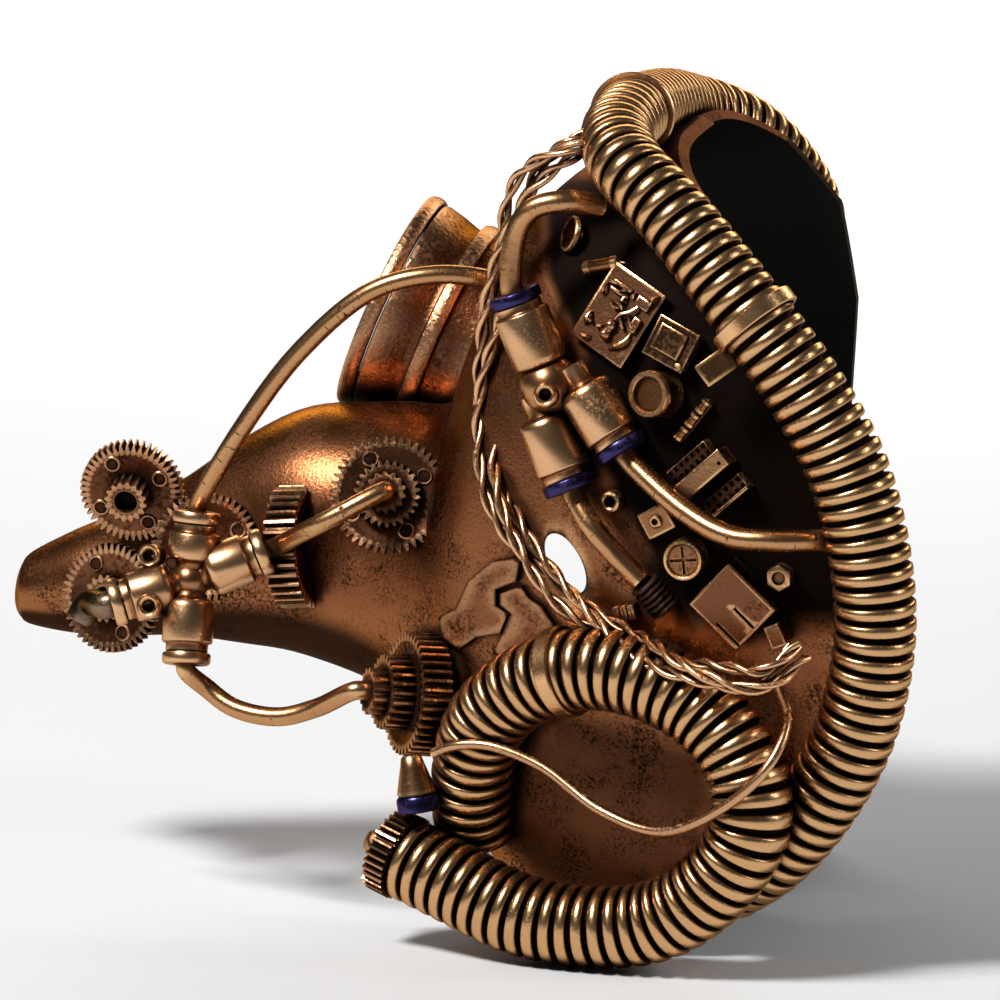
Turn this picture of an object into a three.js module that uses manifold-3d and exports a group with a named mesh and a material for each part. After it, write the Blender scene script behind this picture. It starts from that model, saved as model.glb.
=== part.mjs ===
// A long-nosed steampunk theatre mask: a hollow shell painted like old copper, dressed on its left side
// with ribbed hoses, pipe unions, bent pipes, gear wheels and old electronic parts.
// Millimetres, +Z up. The mask looks along -X, its median plane is y = 0 and its dressed side is -Y.

import * as THREE from 'three';
import { mergeVertices } from 'three/addons/utils/BufferGeometryUtils.js';
import Module from 'manifold-3d';

const wasm = await Module();
wasm.setup();

// Driving dimensions
const WALL = 2.6; // moulded shell
const GLUE = 0.3; // clear line between pieces that touch
const PLATE = 1.6; // ragged patch plates on the cheek
const HOSE = { radius: 10.4, ribDepth: 1.9, ribPitch: 13.5, sides: 8 };
const PIPE = { radius: 2.4, sides: 8 };
const THIN_PIPE = { radius: 1.3, sides: 6 };
const BUNDLE = { radius: 3.6, sides: 6, lobes: 3, lobeDepth: 1, twistEvery: 60 };
const BARREL = { neck: 4, shoulder: 5, sides: 10, groove: 0.7 };
const EYELET = { radius: 3.1, bore: 1.5, sides: 7 };
const COLLAR = { inset: 0.3, length: 3 };
const GOGGLE = { radius: 28.5, wall: 3, cup: 39, mouth: 10, ring: 4, sides: 16 };
const RAYS_FROM = 300; // how far off the dressed side the seats are sighted from

// The side drawing that the fittings are laid out on, seen from a little behind and a little above.
// u runs to the right of the drawing and v up it, both from the foot of the median plane.
const DRAWING = { turn: THREE.MathUtils.degToRad(14), drop: THREE.MathUtils.degToRad(12) };
const [turnSin, turnCos] = [Math.sin(DRAWING.turn), Math.cos(DRAWING.turn)];
const [dropSin, dropCos] = [Math.sin(DRAWING.drop), Math.cos(DRAWING.drop)];
const RIGHT = new THREE.Vector3(turnCos, turnSin, 0);
const UP = new THREE.Vector3(-turnSin * dropSin, turnCos * dropSin, dropCos);
const NEAR = new THREE.Vector3(turnSin * dropCos, -turnCos * dropCos, dropSin);

// The point that shows at u, v on the drawing and lies y to the side of the median plane
function sighted(u, v, y) {
  const x = (u - y * turnSin) / turnCos;
  const z = (v + x * turnSin * dropSin - y * turnCos * dropSin) / dropCos;
  return new THREE.Vector3(x, y, z);
}

// A direction given by its share to the right, up and towards the viewer of the drawing
function heading(right, up, near) {
  return new THREE.Vector3()
    .addScaledVector(RIGHT, right)
    .addScaledVector(UP, up)
    .addScaledVector(NEAR, near)
    .normalize();
}

// Solids for joining and cutting
function solid(geometry) {
  const bare = new THREE.BufferGeometry();
  bare.setAttribute('position', geometry.getAttribute('position'));
  bare.setIndex(geometry.getIndex());
  const merged = mergeVertices(bare, 1e-4);
  const index = merged.getIndex().array;
  const corners = [];
  for (let i = 0; i < index.length; i += 3) {
    const [a, b, c] = [index[i], index[i + 1], index[i + 2]];
    if (a !== b && b !== c && c !== a) corners.push(a, b, c);
  }
  return new wasm.Manifold(new wasm.Mesh({
    numProp: 3,
    vertProperties: new Float32Array(merged.getAttribute('position').array),
    triVerts: new Uint32Array(corners),
  }));
}

function joined(geometries) {
  return geometries.map(solid).reduce((whole, next) => whole.add(next));
}

function surfaceOf(body) {
  const { numProp, vertProperties, triVerts } = body.getMesh();
  const geometry = new THREE.BufferGeometry();
  const positions = new Float32Array(vertProperties.length / numProp * 3);
  for (let i = 0; i < positions.length / 3; i++) {
    positions.set(vertProperties.subarray(i * numProp, i * numProp + 3), i * 3);
  }
  geometry.setAttribute('position', new THREE.BufferAttribute(positions, 3));
  geometry.setIndex(new THREE.BufferAttribute(new Uint32Array(triVerts), 1));
  return geometry;
}

// Shapes made along +Z and stood at a point along an axis, turned by spin about it
function stand(geometry, point, axis, spin = 0) {
  const z = axis.clone().normalize();
  const across = Math.abs(RIGHT.dot(z)) > 0.9 ? UP : RIGHT;
  const x = across.clone().addScaledVector(z, -across.dot(z)).normalize().applyAxisAngle(z, spin);
  const y = new THREE.Vector3().crossVectors(z, x);
  return geometry.clone().applyMatrix4(new THREE.Matrix4().makeBasis(x, y, z).setPosition(point));
}

function turnedProfile(profile, sides) {
  const points = profile.map(([radius, height]) => new THREE.Vector2(radius, height));
  return new THREE.LatheGeometry(points, sides).rotateX(Math.PI / 2);
}

function rod(radius, length, sides = 12) {
  return turnedProfile([[0, 0], [radius, 0], [radius, length], [0, length]], sides);
}

function washer(outer, inner, length, sides = 12) {
  return turnedProfile([[inner, 0], [outer, 0], [outer, length], [inner, length], [inner, 0]], sides);
}

function block(width, height, depth) {
  return new THREE.BoxGeometry(width, height, depth).translate(0, 0, depth / 2);
}

// A closed skin through rings of equal point count, capped flat at both ends
function skin(rings) {
  const count = rings[0].length;
  const points = rings.flat();
  const faces = [];
  const last = (rings.length - 1) * count;
  for (let start = 0; start < last; start += count) {
    for (let i = 0; i < count; i++) {
      const [a, b] = [start + i, start + (i + 1) % count];
      faces.push(a, b, b + count, a, b + count, a + count);
    }
  }
  for (const [start, flip] of [[0, true], [last, false]]) {
    const middle = points.length;
    const ring = points.slice(start, start + count);
    points.push(ring.reduce((sum, p) => sum.add(p), new THREE.Vector3()).divideScalar(count));
    for (let i = 0; i < count; i++) {
      const [a, b] = [start + i, start + (i + 1) % count];
      faces.push(middle, ...(flip ? [b, a] : [a, b]));
    }
  }
  return new THREE.BufferGeometry().setFromPoints(points).setIndex(faces);
}

// Routes are rows of u, v and y, joined by a smooth curve
function routeCurve(rows) {
  return new THREE.CatmullRomCurve3(rows.map(([u, v, y]) => sighted(u, v, y)));
}

function pipe(curve, { radius, sides }, steps = 12) {
  const ring = Array.from({ length: sides }, (_, i) => {
    const angle = i / sides * 2 * Math.PI;
    return new THREE.Vector2(radius * Math.cos(angle), radius * Math.sin(angle));
  });
  return new THREE.ExtrudeGeometry(new THREE.Shape(ring), { steps, extrudePath: curve });
}

function sweep(curve, steps, sides, radiusAt) {
  const frames = curve.computeFrenetFrames(steps);
  const rings = Array.from({ length: steps + 1 }, (_, step) => {
    const centre = curve.getPointAt(step / steps);
    return Array.from({ length: sides }, (_, side) => {
      const angle = side / sides * 2 * Math.PI;
      const radius = radiusAt(step, angle);
      return centre.clone()
        .addScaledVector(frames.normals[step], radius * Math.cos(angle))
        .addScaledVector(frames.binormals[step], radius * Math.sin(angle));
    });
  });
  return skin(rings);
}

// Ribs stand on the odd steps along a hose
const hoseSteps = (curve) => 2 * Math.round(curve.getLength() / HOSE.ribPitch);
function ribbedHose(curve, grow = 0) {
  const radiusAt = (step) => HOSE.radius + grow - (step % 2 ? 0 : HOSE.ribDepth);
  return sweep(curve, hoseSteps(curve), HOSE.sides, radiusAt);
}

// The shell's form: one row for each section across the nose and face
const SECTIONS = [
  { x: -116.5, top: 76.5, bottom: 67.5, half: 4.5, square: 2 },
  { x: -112, top: 83.5, bottom: 64.5, half: 9, square: 2 },
  { x: -101, top: 89.5, bottom: 63, half: 12, square: 2 },
  { x: -88, top: 95.5, bottom: 63, half: 14.5, square: 2 },
  { x: -73, top: 104, bottom: 64, half: 17.5, square: 2.1 },
  { x: -57, top: 115.5, bottom: 63, half: 22, square: 2.1 },
  { x: -40, top: 124, bottom: 61, half: 27, square: 2.1 },
  { x: -18, top: 126, bottom: 54, half: 34, square: 2.1 },
  { x: -2, top: 128, bottom: 44, half: 43, square: 2.2 },
  { x: 8, top: 152, bottom: 24, half: 52, square: 2.5 },
  { x: 18, top: 175, bottom: 0, half: 58, square: 2.9 },
  { x: 34, top: 191, bottom: -30, half: 64, square: 3 },
  { x: 60, top: 202, bottom: -48, half: 68, square: 3.2 },
  { x: 90, top: 206, bottom: -56, half: 70, square: 3.4 },
  { x: 125, top: 207, bottom: -58, half: 69, square: 3.4 },
];

function faceForm(grow, count = 24, sectionsPerRow = 1.2) {
  const rowCurve = (first, second) => new THREE.CatmullRomCurve3(
    SECTIONS.map((row) => new THREE.Vector3(row.x, row[first], row[second])), false, 'catmullrom');
  const heights = rowCurve('top', 'bottom');
  const widths = rowCurve('half', 'square');
  const steps = Math.round((SECTIONS.length - 1) * sectionsPerRow);
  const rings = Array.from({ length: steps + 1 }, (_, step) => {
    const { x, y: top, z: bottom } = heights.getPoint(step / steps);
    const { y: half, z: square } = widths.getPoint(step / steps);
    const middle = (top + bottom) / 2;
    const tipShift = step === 0 ? -grow : 0;
    return Array.from({ length: count }, (_, i) => {
      const angle = (i + 0.5) / count * 2 * Math.PI;
      const bulge = (value) => Math.sign(value) * Math.abs(value) ** (2 / square);
      const y = (half + grow) * bulge(Math.cos(angle));
      const z = middle + ((top - bottom) / 2 + grow) * bulge(Math.sin(angle));
      return new THREE.Vector3(x + tipShift, y, z);
    });
  });
  return solid(skin(rings));
}

// A side outline in x and z, cut across from y0 to y1
function sidePrism(outline, y0, y1) {
  const shape = new THREE.Shape(outline.map(([x, z]) => new THREE.Vector2(x, z)));
  const prism = new THREE.ExtrudeGeometry(shape, { depth: y1 - y0, bevelEnabled: false });
  return solid(prism.rotateX(Math.PI / 2).translate(0, y1, 0));
}

// A drawing outline in u and v, run from the median plane out through the dressed side
function drawingPrism(outline, y) {
  const shape = new THREE.Shape(outline.map(([u, v]) => new THREE.Vector2(u, v)));
  const prism = new THREE.ExtrudeGeometry(shape, { depth: RAYS_FROM, bevelEnabled: false });
  const basis = new THREE.Matrix4().makeBasis(RIGHT, UP, NEAR).setPosition(sighted(0, 0, y));
  return solid(prism.applyMatrix4(basis));
}

const skinForm = faceForm(0);
const clearForm = faceForm(GLUE);

// Where a fitting sits on the dressed side: the point on the shell at u, v and its direction there
const skinMesh = new THREE.Mesh(surfaceOf(skinForm), new THREE.MeshBasicMaterial({ side: THREE.DoubleSide }));
function seat(u, v) {
  const from = sighted(u, v, 0).addScaledVector(NEAR, RAYS_FROM);
  const ray = new THREE.Raycaster(from, NEAR.clone().negate());
  const [hit] = ray.intersectObject(skinMesh);
  return { point: hit.point, normal: hit.face.normal.clone() };
}

// Trims a fitting to the shell and to any hose it meets, leaving the glue line
function glued(body, ...hoses) {
  return surfaceOf(hoses.reduce((rest, hose) => rest.subtract(hose), body.subtract(clearForm)));
}

// Finishes
function finish(color, roughness, metalness) {
  return new THREE.MeshStandardMaterial({ color, roughness, metalness });
}
const COPPER = finish(0x9c6138, 0.38, 0.9);
const WORN_COPPER = finish(0x8a5433, 0.5, 0.8);
const BRASS = finish(0xb5803f, 0.35, 0.9);
const DARK_COPPER = finish(0x4a2d1e, 0.55, 0.6);
const BLUE_BLACK = finish(0x20203a, 0.4, 0.3);

const mask = new THREE.Group();
mask.name = 'steampunk_mask';
function add(name, geometry, material) {
  const mesh = new THREE.Mesh(geometry, material);
  mesh.name = name;
  mask.add(mesh);
}

// Face shell: hollow, open at the back and round the mouth, cut flat where it stands
const BEYOND = 220; // cutters run this far past the mask
const STAND = 2.8; // the height of the drawing at which the mask stands on its edges
const RIM_TOP = [66, 230];
const NEAR_RIM = [[66, 190], [82, 170], [101, 136], [108, 100], [108, 70], [99, 46], [84, 24], [60, 0]];
const FAR_RIM = [[72, 188], [83, 171], [86, 145], [84, 120], [81, 60], [76, 0]];
const MOUTH = [[-24, 58], [-4, 52], [8, 44], [16, 32], [23, 16], [28, 0]];
const EYE = { point: sighted(-7.2, 145, 30), axis: heading(-0.9, 0.42, -0.12), radius: 17, cut: 90 };
const CHEEK_SLIT = { u: 25.5, v: 84, halfWidth: 4, halfHeight: 8.5, lean: 0.5, farSide: 90 };

function behindRim(rim, y0, y1) {
  const behind = [[rim.at(-1)[0], -BEYOND], [BEYOND, -BEYOND], [BEYOND, RIM_TOP[1]], RIM_TOP];
  return sidePrism([...rim, ...behind], y0, y1);
}
const underMouth = [[MOUTH.at(-1)[0], -BEYOND], [-BEYOND, -BEYOND], [-BEYOND, MOUTH[0][1] - WALL]];
const mouthCut = sidePrism([...MOUTH, ...underMouth], -BEYOND, BEYOND);
const ground = [[-BEYOND, STAND], [-BEYOND, -BEYOND], [BEYOND, -BEYOND], [BEYOND, STAND]];
const underFloor = sidePrism(ground, -BEYOND, BEYOND);
const eyeHole = solid(stand(rod(EYE.radius, EYE.cut, 20).translate(0, 0, -EYE.cut / 2), EYE.point, EYE.axis));
const slitShape = new THREE.EllipseCurve(CHEEK_SLIT.u, CHEEK_SLIT.v, CHEEK_SLIT.halfWidth,
  CHEEK_SLIT.halfHeight, 0, 2 * Math.PI, false, CHEEK_SLIT.lean);
const slitOutline = slitShape.getPoints(14).slice(0, -1).map((p) => [p.x, p.y]);
const cheekSlit = drawingPrism(slitOutline, CHEEK_SLIT.farSide);
const shell = skinForm
  .subtract(faceForm(-WALL, 18, 1))
  .subtract(behindRim(NEAR_RIM, -BEYOND, GLUE))
  .subtract(behindRim(FAR_RIM, 0, BEYOND))
  .subtract(mouthCut)
  .subtract(underFloor)
  .subtract(eyeHole)
  .subtract(cheekSlit);
add('face_shell', surfaceOf(shell), COPPER);

// Ribbed hoses: one over the brow and down the rear rim, one in a loop on the cheek
const RIM_ROUTE = [
  [80, 140, 75], [84, 150, 74.5], [87, 163, 72.5], [87, 172, 70], [84, 179, 67.5], [78, 187, 63],
  [71, 193, 57], [64, 196.3, 51], [57, 198.2, 42], [51, 199.2, 22], [44.5, 197.5, -8], [41, 195, -30],
  [38, 189.5, -48], [41, 182, -62], [50, 172.5, -70], [70, 147, -79], [85, 126, -81],
  [95, 107, -81], [100.5, 85, -81], [101.5, 65, -80], [97, 43, -78], [87.5, 25, -75], [76, 12, -71],
  [65, 5, -66],
];
const LOOP_ROUTE = [
  [-14, 10.5, -70], [-3, 5, -74], [14, -3, -79], [31, -6, -82], [49, -4, -84], [63, 6, -87], [71, 20, -89],
  [69, 35, -88], [59, 48, -85], [44, 56, -82], [29, 58, -78], [14, 53, -73], [5, 44, -69], [2, 30, -63],
  [3, 17, -56],
];
const rimCurve = routeCurve(RIM_ROUTE);
const loopCurve = routeCurve(LOOP_ROUTE);
const rimClear = solid(ribbedHose(rimCurve, GLUE));
const loopClear = solid(ribbedHose(loopCurve, GLUE));
add('rim_hose', glued(solid(ribbedHose(rimCurve))), BRASS);
add('loop_hose', glued(solid(ribbedHose(loopCurve)), rimClear), BRASS);

// Cable ties: flat bands round the hoses, one with its square head, and a thin wire at the brow
function hoseTie(curve, rib, { width, thickness, clear }) {
  const share = (2 * rib + 1) / hoseSteps(curve);
  const point = curve.getPointAt(share);
  const inner = HOSE.radius + clear;
  const ring = washer(inner + thickness, inner, width, 12).translate(0, 0, -width / 2);
  return stand(ring, point, curve.getTangentAt(share));
}
const FLAT_TIE = { width: 4.5, thickness: 1, clear: GLUE };
const WIRE_TIE = { width: 1.4, thickness: 1.2, clear: 2 * GLUE };
const RIM_BAND = { rib: 18, head: [62.5, 133, -77], headSize: [10, 6, 5], headSpin: 0.62 };
const BROW_TIE_RIB = 11;
const LOOP_BAND_RIB = 13;
const rimBandHead = stand(block(...RIM_BAND.headSize), sighted(...RIM_BAND.head), NEAR, RIM_BAND.headSpin);
add('rim_band', glued(solid(hoseTie(rimCurve, RIM_BAND.rib, FLAT_TIE))), BRASS);
const aroundBand = { width: FLAT_TIE.width + 2 * GLUE, thickness: FLAT_TIE.thickness + 2 * GLUE, clear: 0 };
const rimBandClear = hoseTie(rimCurve, RIM_BAND.rib, aroundBand);
add('rim_band_head', glued(solid(rimBandHead), rimClear, solid(rimBandClear)), BRASS);
add('brow_tie', glued(solid(hoseTie(rimCurve, BROW_TIE_RIB, WIRE_TIE))), WORN_COPPER);
add('loop_band', glued(solid(hoseTie(loopCurve, LOOP_BAND_RIB, FLAT_TIE)), rimClear, loopClear), BRASS);

// Goggle: a flared barrel on a rough cup over the far eye, open through to the eye hole
const gogglePoint = EYE.point;
const { radius: eyeRadius, wall: eyeWall } = GOGGLE;
const cupProfile = [
  [eyeRadius - 6, -GOGGLE.cup], [eyeRadius - 3, -GOGGLE.cup], [eyeRadius - 2.5, -6], [eyeRadius - 0.5, -5],
  [eyeRadius - 0.5, -2], [eyeRadius - 2.5, -1], [eyeRadius - 2, 1], [eyeRadius - 0.5, GOGGLE.mouth],
  [eyeRadius - eyeWall - 1, GOGGLE.mouth], [eyeRadius - 6, -5], [eyeRadius - 6, -GOGGLE.cup],
];
const goggleCup = solid(stand(turnedProfile(cupProfile, GOGGLE.sides), gogglePoint, EYE.axis));
const goggleRing = washer(eyeRadius + 0.4, eyeRadius - eyeWall, GOGGLE.ring, GOGGLE.sides);
const ringPoint = gogglePoint.clone().addScaledVector(EYE.axis, GOGGLE.mouth + GLUE);
add('goggle_cup', glued(goggleCup), WORN_COPPER);
add('goggle_ring', stand(goggleRing, ringPoint, EYE.axis), COPPER);

// Pipe unions: barrels from a union's middle to its mouths, each with a groove and a release collar
function barrel(radius, length) {
  const { neck, shoulder, sides, groove } = BARREL;
  return turnedProfile([
    [0, 0], [neck, 0], [neck, shoulder - 0.5], [radius - 1, shoulder], [radius, shoulder + 1.5],
    [radius, length - 2], [radius - groove, length - 1.5], [radius - groove, length], [0, length],
  ], sides);
}
function eyelet(u, v, y, length) {
  const { radius, bore, sides } = EYELET;
  const ring = washer(radius, bore, length, sides).translate(0, 0, -length);
  return stand(ring, sighted(u, v, y), heading(-0.2, 0, 1));
}
const mouths = {};
function pipeUnion(name, core, radius, barrels, eyelets) {
  const bodies = [stand(new THREE.SphereGeometry(core.radius, 8, 6), sighted(...core.at), NEAR), ...eyelets];
  for (const { key, from, along, length } of barrels) {
    const axis = heading(...along);
    const start = sighted(...from);
    bodies.push(stand(barrel(radius, length), start, axis));
    const collarStart = start.clone().addScaledVector(axis, length + GLUE);
    const collar = rod(radius - COLLAR.inset, COLLAR.length, BARREL.sides);
    add(`${name}_collar_${key}`, glued(solid(stand(collar, collarStart, axis))), BLUE_BLACK);
    const mouth = collarStart.clone().addScaledVector(axis, COLLAR.length + GLUE);
    mouths[`${name}_${key}`] = [mouth, mouth.clone().addScaledVector(axis, 4)];
  }
  add(name, glued(joined(bodies)), BRASS);
}
const CROSS = [-68.5, 80, -46];
pipeUnion('cross_union', { at: CROSS, radius: 5 }, 6.4, [
  { key: 'top', from: CROSS, along: [0.1, 1, 0.05], length: 14 },
  { key: 'right', from: CROSS, along: [0.93, 0.36, 0.05], length: 17.5 },
  { key: 'left', from: CROSS, along: [-0.95, -0.28, 0.02], length: 17.5 },
  { key: 'bottom', from: CROSS, along: [-0.05, -1, 0.1], length: 18 },
], [eyelet(-79, 86, -50, 7), eyelet(-79, 73.5, -53, 7)]);
pipeUnion('y_union', { at: [21.5, 128.5, -68], radius: 7.6 }, 7, [
  { key: 'upper', from: [21, 129, -68], along: [-0.36, 0.93, 0.08], length: 21 },
  { key: 'right', from: [27, 132, -69], along: [0.53, -0.85, 0.1], length: 21 },
  { key: 'lower', from: [18, 125, -68], along: [0.36, -0.93, 0.02], length: 21 },
], [eyelet(20, 126, -78, 6)]);

// Gear wheels: stacks of toothed discs on one axis, from the back one forward
const DISC_LAP = 0.2; // how far stacked discs run into each other
function toothedDisc({ radius, teeth, thickness }) {
  const toothDepth = Math.min(1.6, radius * 0.14);
  const outline = Array.from({ length: 2 * teeth }, (_, i) => {
    const angle = i / teeth * Math.PI;
    const reach = i % 2 ? radius : radius - toothDepth;
    return new THREE.Vector2(reach * Math.cos(angle), reach * Math.sin(angle));
  });
  return new THREE.ExtrudeGeometry(new THREE.Shape(outline), { depth: thickness, bevelEnabled: false });
}
function gearStack(discs, extras = []) {
  let height = 0;
  const bodies = discs.map((disc) => {
    const body = toothedDisc(disc).translate(0, 0, height);
    height += disc.thickness - DISC_LAP;
    return body;
  });
  return [...bodies, ...extras];
}
const STEM = { radius: 4, sides: 8 }; // what stands a gear off the shell
const stem = (length) => rod(STEM.radius, length + GLUE, STEM.sides).translate(0, 0, -length);
const GEARS = [
  { name: 'bridge_gear', at: [-18.5, 101, -39], along: [-0.12, 0.1, 1], stem: 12, discs: [
    { radius: 14.8, teeth: 21, thickness: 3 }, { radius: 8.4, teeth: 12, thickness: 3.2 },
    { radius: 5.2, teeth: 10, thickness: 4 }] },
  { name: 'nose_gear_upper', at: [-83, 103.5, -19], along: [-0.2, -0.4, 0.9], stem: 4, discs: [
    { radius: 13, teeth: 18, thickness: 4.5 }, { radius: 5.4, teeth: 10, thickness: 6 }] },
  { name: 'nose_gear_lower', at: [-87.8, 75.5, -20], along: [-0.5, -0.05, 0.86], stem: 10, discs: [
    { radius: 13.8, teeth: 18, thickness: 3 }, { radius: 6, teeth: 10, thickness: 3 }] },
  { name: 'nose_gear_rear', at: [-64.5, 88, -25], along: [-0.2, 0.1, 1], stem: 10, discs: [
    { radius: 13.8, teeth: 18, thickness: 3 }] },
  { name: 'spur_gear', at: [-41, 88, -22], along: [0.88, 0.05, 0.47], stem: 0, discs: [
    { radius: 15, teeth: 19, thickness: 8 }] },
  { name: 'chin_gear', at: [-8, 51.5, -50], along: [-0.94, 0.05, 0.34], stem: 6, discs: [
    { radius: 15.6, teeth: 21, thickness: 7.5 }, { radius: 9.4, teeth: 12, thickness: 6 },
    { radius: 5.9, teeth: 10, thickness: 4 }] },
];
const gearFronts = {};
for (const { name, at, along, stem: stemLength, discs } of GEARS) {
  const extras = stemLength ? [stem(stemLength)] : [];
  const axis = heading(...along);
  const parts = gearStack(discs, extras).map((part) => stand(part, sighted(...at), axis));
  add(name, glued(joined(parts), loopClear), WORN_COPPER);
  const height = discs.reduce((sum, disc) => sum + disc.thickness - DISC_LAP, DISC_LAP);
  const front = sighted(...at).addScaledVector(axis, height + GLUE);
  gearFronts[name] = [front.clone().addScaledVector(axis, 3), front];
}

// Bent pipes from the unions
function addPipe(name, mouth, rows, steps, end = []) {
  const curve = new THREE.CatmullRomCurve3([...mouths[mouth], ...rows.map((row) => sighted(...row)), ...end]);
  add(name, glued(solid(pipe(curve, PIPE, steps)), rimClear, loopClear), BRASS);
}
addPipe('brow_pipe', 'cross_union_top',
  [[-56, 117, -49], [-41, 137, -50], [-23, 152, -50], [-8, 156, -48], [6, 155, -43], [13, 152, -37]], 14);
addPipe('gear_pipe', 'cross_union_right', [[-36, 94, -56]], 8, gearFronts.bridge_gear);
addPipe('chin_pipe', 'cross_union_bottom',
  [[-63, 50, -51], [-51, 45, -53], [-38, 48, -55]], 12, gearFronts.chin_gear);
addPipe('temple_pipe', 'y_union_upper', [[13, 166, -67], [17, 172, -68], [25, 174, -67], [34, 173, -60]], 10);
addPipe('ear_pipe', 'y_union_right', [[55, 97, -80], [66, 91, -84], [76, 90, -84], [88, 90, -80]], 10);
addPipe('cheek_pipe', 'y_union_lower', [[32, 93, -74], [38, 86, -74], [44, 80, -74]], 8);
const WRAP = { at: [44.5, 79.5, -74], along: [0.6, -0.7, -0.2], radius: 4, length: 9, sides: 8 };
const wrap = stand(rod(WRAP.radius, WRAP.length, WRAP.sides), sighted(...WRAP.at), heading(...WRAP.along));
add('cheek_pipe_wrap', glued(solid(wrap)), DARK_COPPER);

// Thin copper pipe that crosses the hose loop
const LOOP_PIPE_ROUTE = [
  [-7.5, 37, -76], [-2, 39, -79], [6, 39, -80], [19, 34, -82], [34, 23, -88], [49, 18, -95], [64, 24, -101],
  [75, 34, -101], [80, 45, -93], [78, 53, -84],
];
add('loop_pipe', glued(solid(pipe(routeCurve(LOOP_PIPE_ROUTE), THIN_PIPE, 16)), loopClear, rimClear), COPPER);

// Wire bundle from the brow to the ear
const BUNDLE_ROUTE = [
  [27.5, 187.5, -55], [15.5, 178, -52], [8, 150, -51], [5, 120, -53], [10, 97, -64], [24, 78, -71],
  [39, 66, -79], [59, 57, -99], [74, 55, -100], [83, 63, -92],
];
const bundleCurve = routeCurve(BUNDLE_ROUTE);
const bundleSteps = 21;
const bundleTwist = bundleCurve.getLength() / BUNDLE.twistEvery / bundleSteps * 2 * Math.PI;
const bundleRadius = (step, angle) => BUNDLE.radius
  - BUNDLE.lobeDepth * (0.5 + 0.5 * Math.cos(BUNDLE.lobes * angle - step * bundleTwist));
const bundle = solid(sweep(bundleCurve, bundleSteps, BUNDLE.sides, bundleRadius));
add('wire_bundle', glued(bundle, rimClear, loopClear), COPPER);

// Hose end: a toothed cap with a ball on the loop hose's mouth, and a cone with its collar above
const hoseEnd = loopCurve.getPointAt(0);
const hoseOut = loopCurve.getTangentAt(0).negate();
const CAP = { disc: { radius: 11, teeth: 18, thickness: 6 }, ball: 4, ballReach: 8.5 };
const capBall = new THREE.SphereGeometry(CAP.ball, 8, 6).translate(0, 0, CAP.ballReach);
const hoseCap = gearStack([CAP.disc], [capBall])
  .map((part) => stand(part, hoseEnd.clone().addScaledVector(hoseOut, GLUE), hoseOut));
add('hose_cap_gear', surfaceOf(joined(hoseCap)), WORN_COPPER);
const CONE = { at: [-11, 22.5, -74], along: [-0.15, 0.95, 0.1], collar: 4, foot: 5, tip: 2.4, height: 10 };
const coneAxis = heading(...CONE.along);
const conePoint = sighted(...CONE.at).addScaledVector(coneAxis, CONE.collar + GLUE);
const coneCollar = rod(CONE.foot + 0.4, CONE.collar);
const coneProfile = [[0, 0], [CONE.foot, 0], [CONE.tip, CONE.height], [0, CONE.height]];
const coneBody = turnedProfile(coneProfile, BARREL.sides);
add('cone_collar', glued(solid(stand(coneCollar, sighted(...CONE.at), coneAxis)), loopClear), BLUE_BLACK);
add('cone_fitting', glued(solid(stand(coneBody, conePoint, coneAxis)), loopClear), BRASS);

// Patch plates: ragged sheets that follow the shell where the nose meets the cheek
const PATCHES = [
  { name: 'patch_plate_front', outline: [[-5, 71], [-1, 73], [2, 80], [8, 85], [15, 86], [14, 80], [9, 78],
    [9, 74], [12, 72], [10, 67], [4, 66], [0, 63], [-4, 66]] },
  { name: 'patch_plate_rear', outline: [[10.6, 67], [12.6, 72], [10, 74.2], [10, 77], [15, 79], [17, 76],
    [20, 74], [24, 68], [22, 62], [14, 60], [8, 62]] },
];
const PATCH_FROM = -20; // the patches are cut from this far to the dressed side
const plateForm = faceForm(GLUE + PLATE);
for (const { name, outline } of PATCHES) {
  add(name, glued(drawingPrism(outline, PATCH_FROM).intersect(plateForm), loopClear), COPPER);
}

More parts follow.
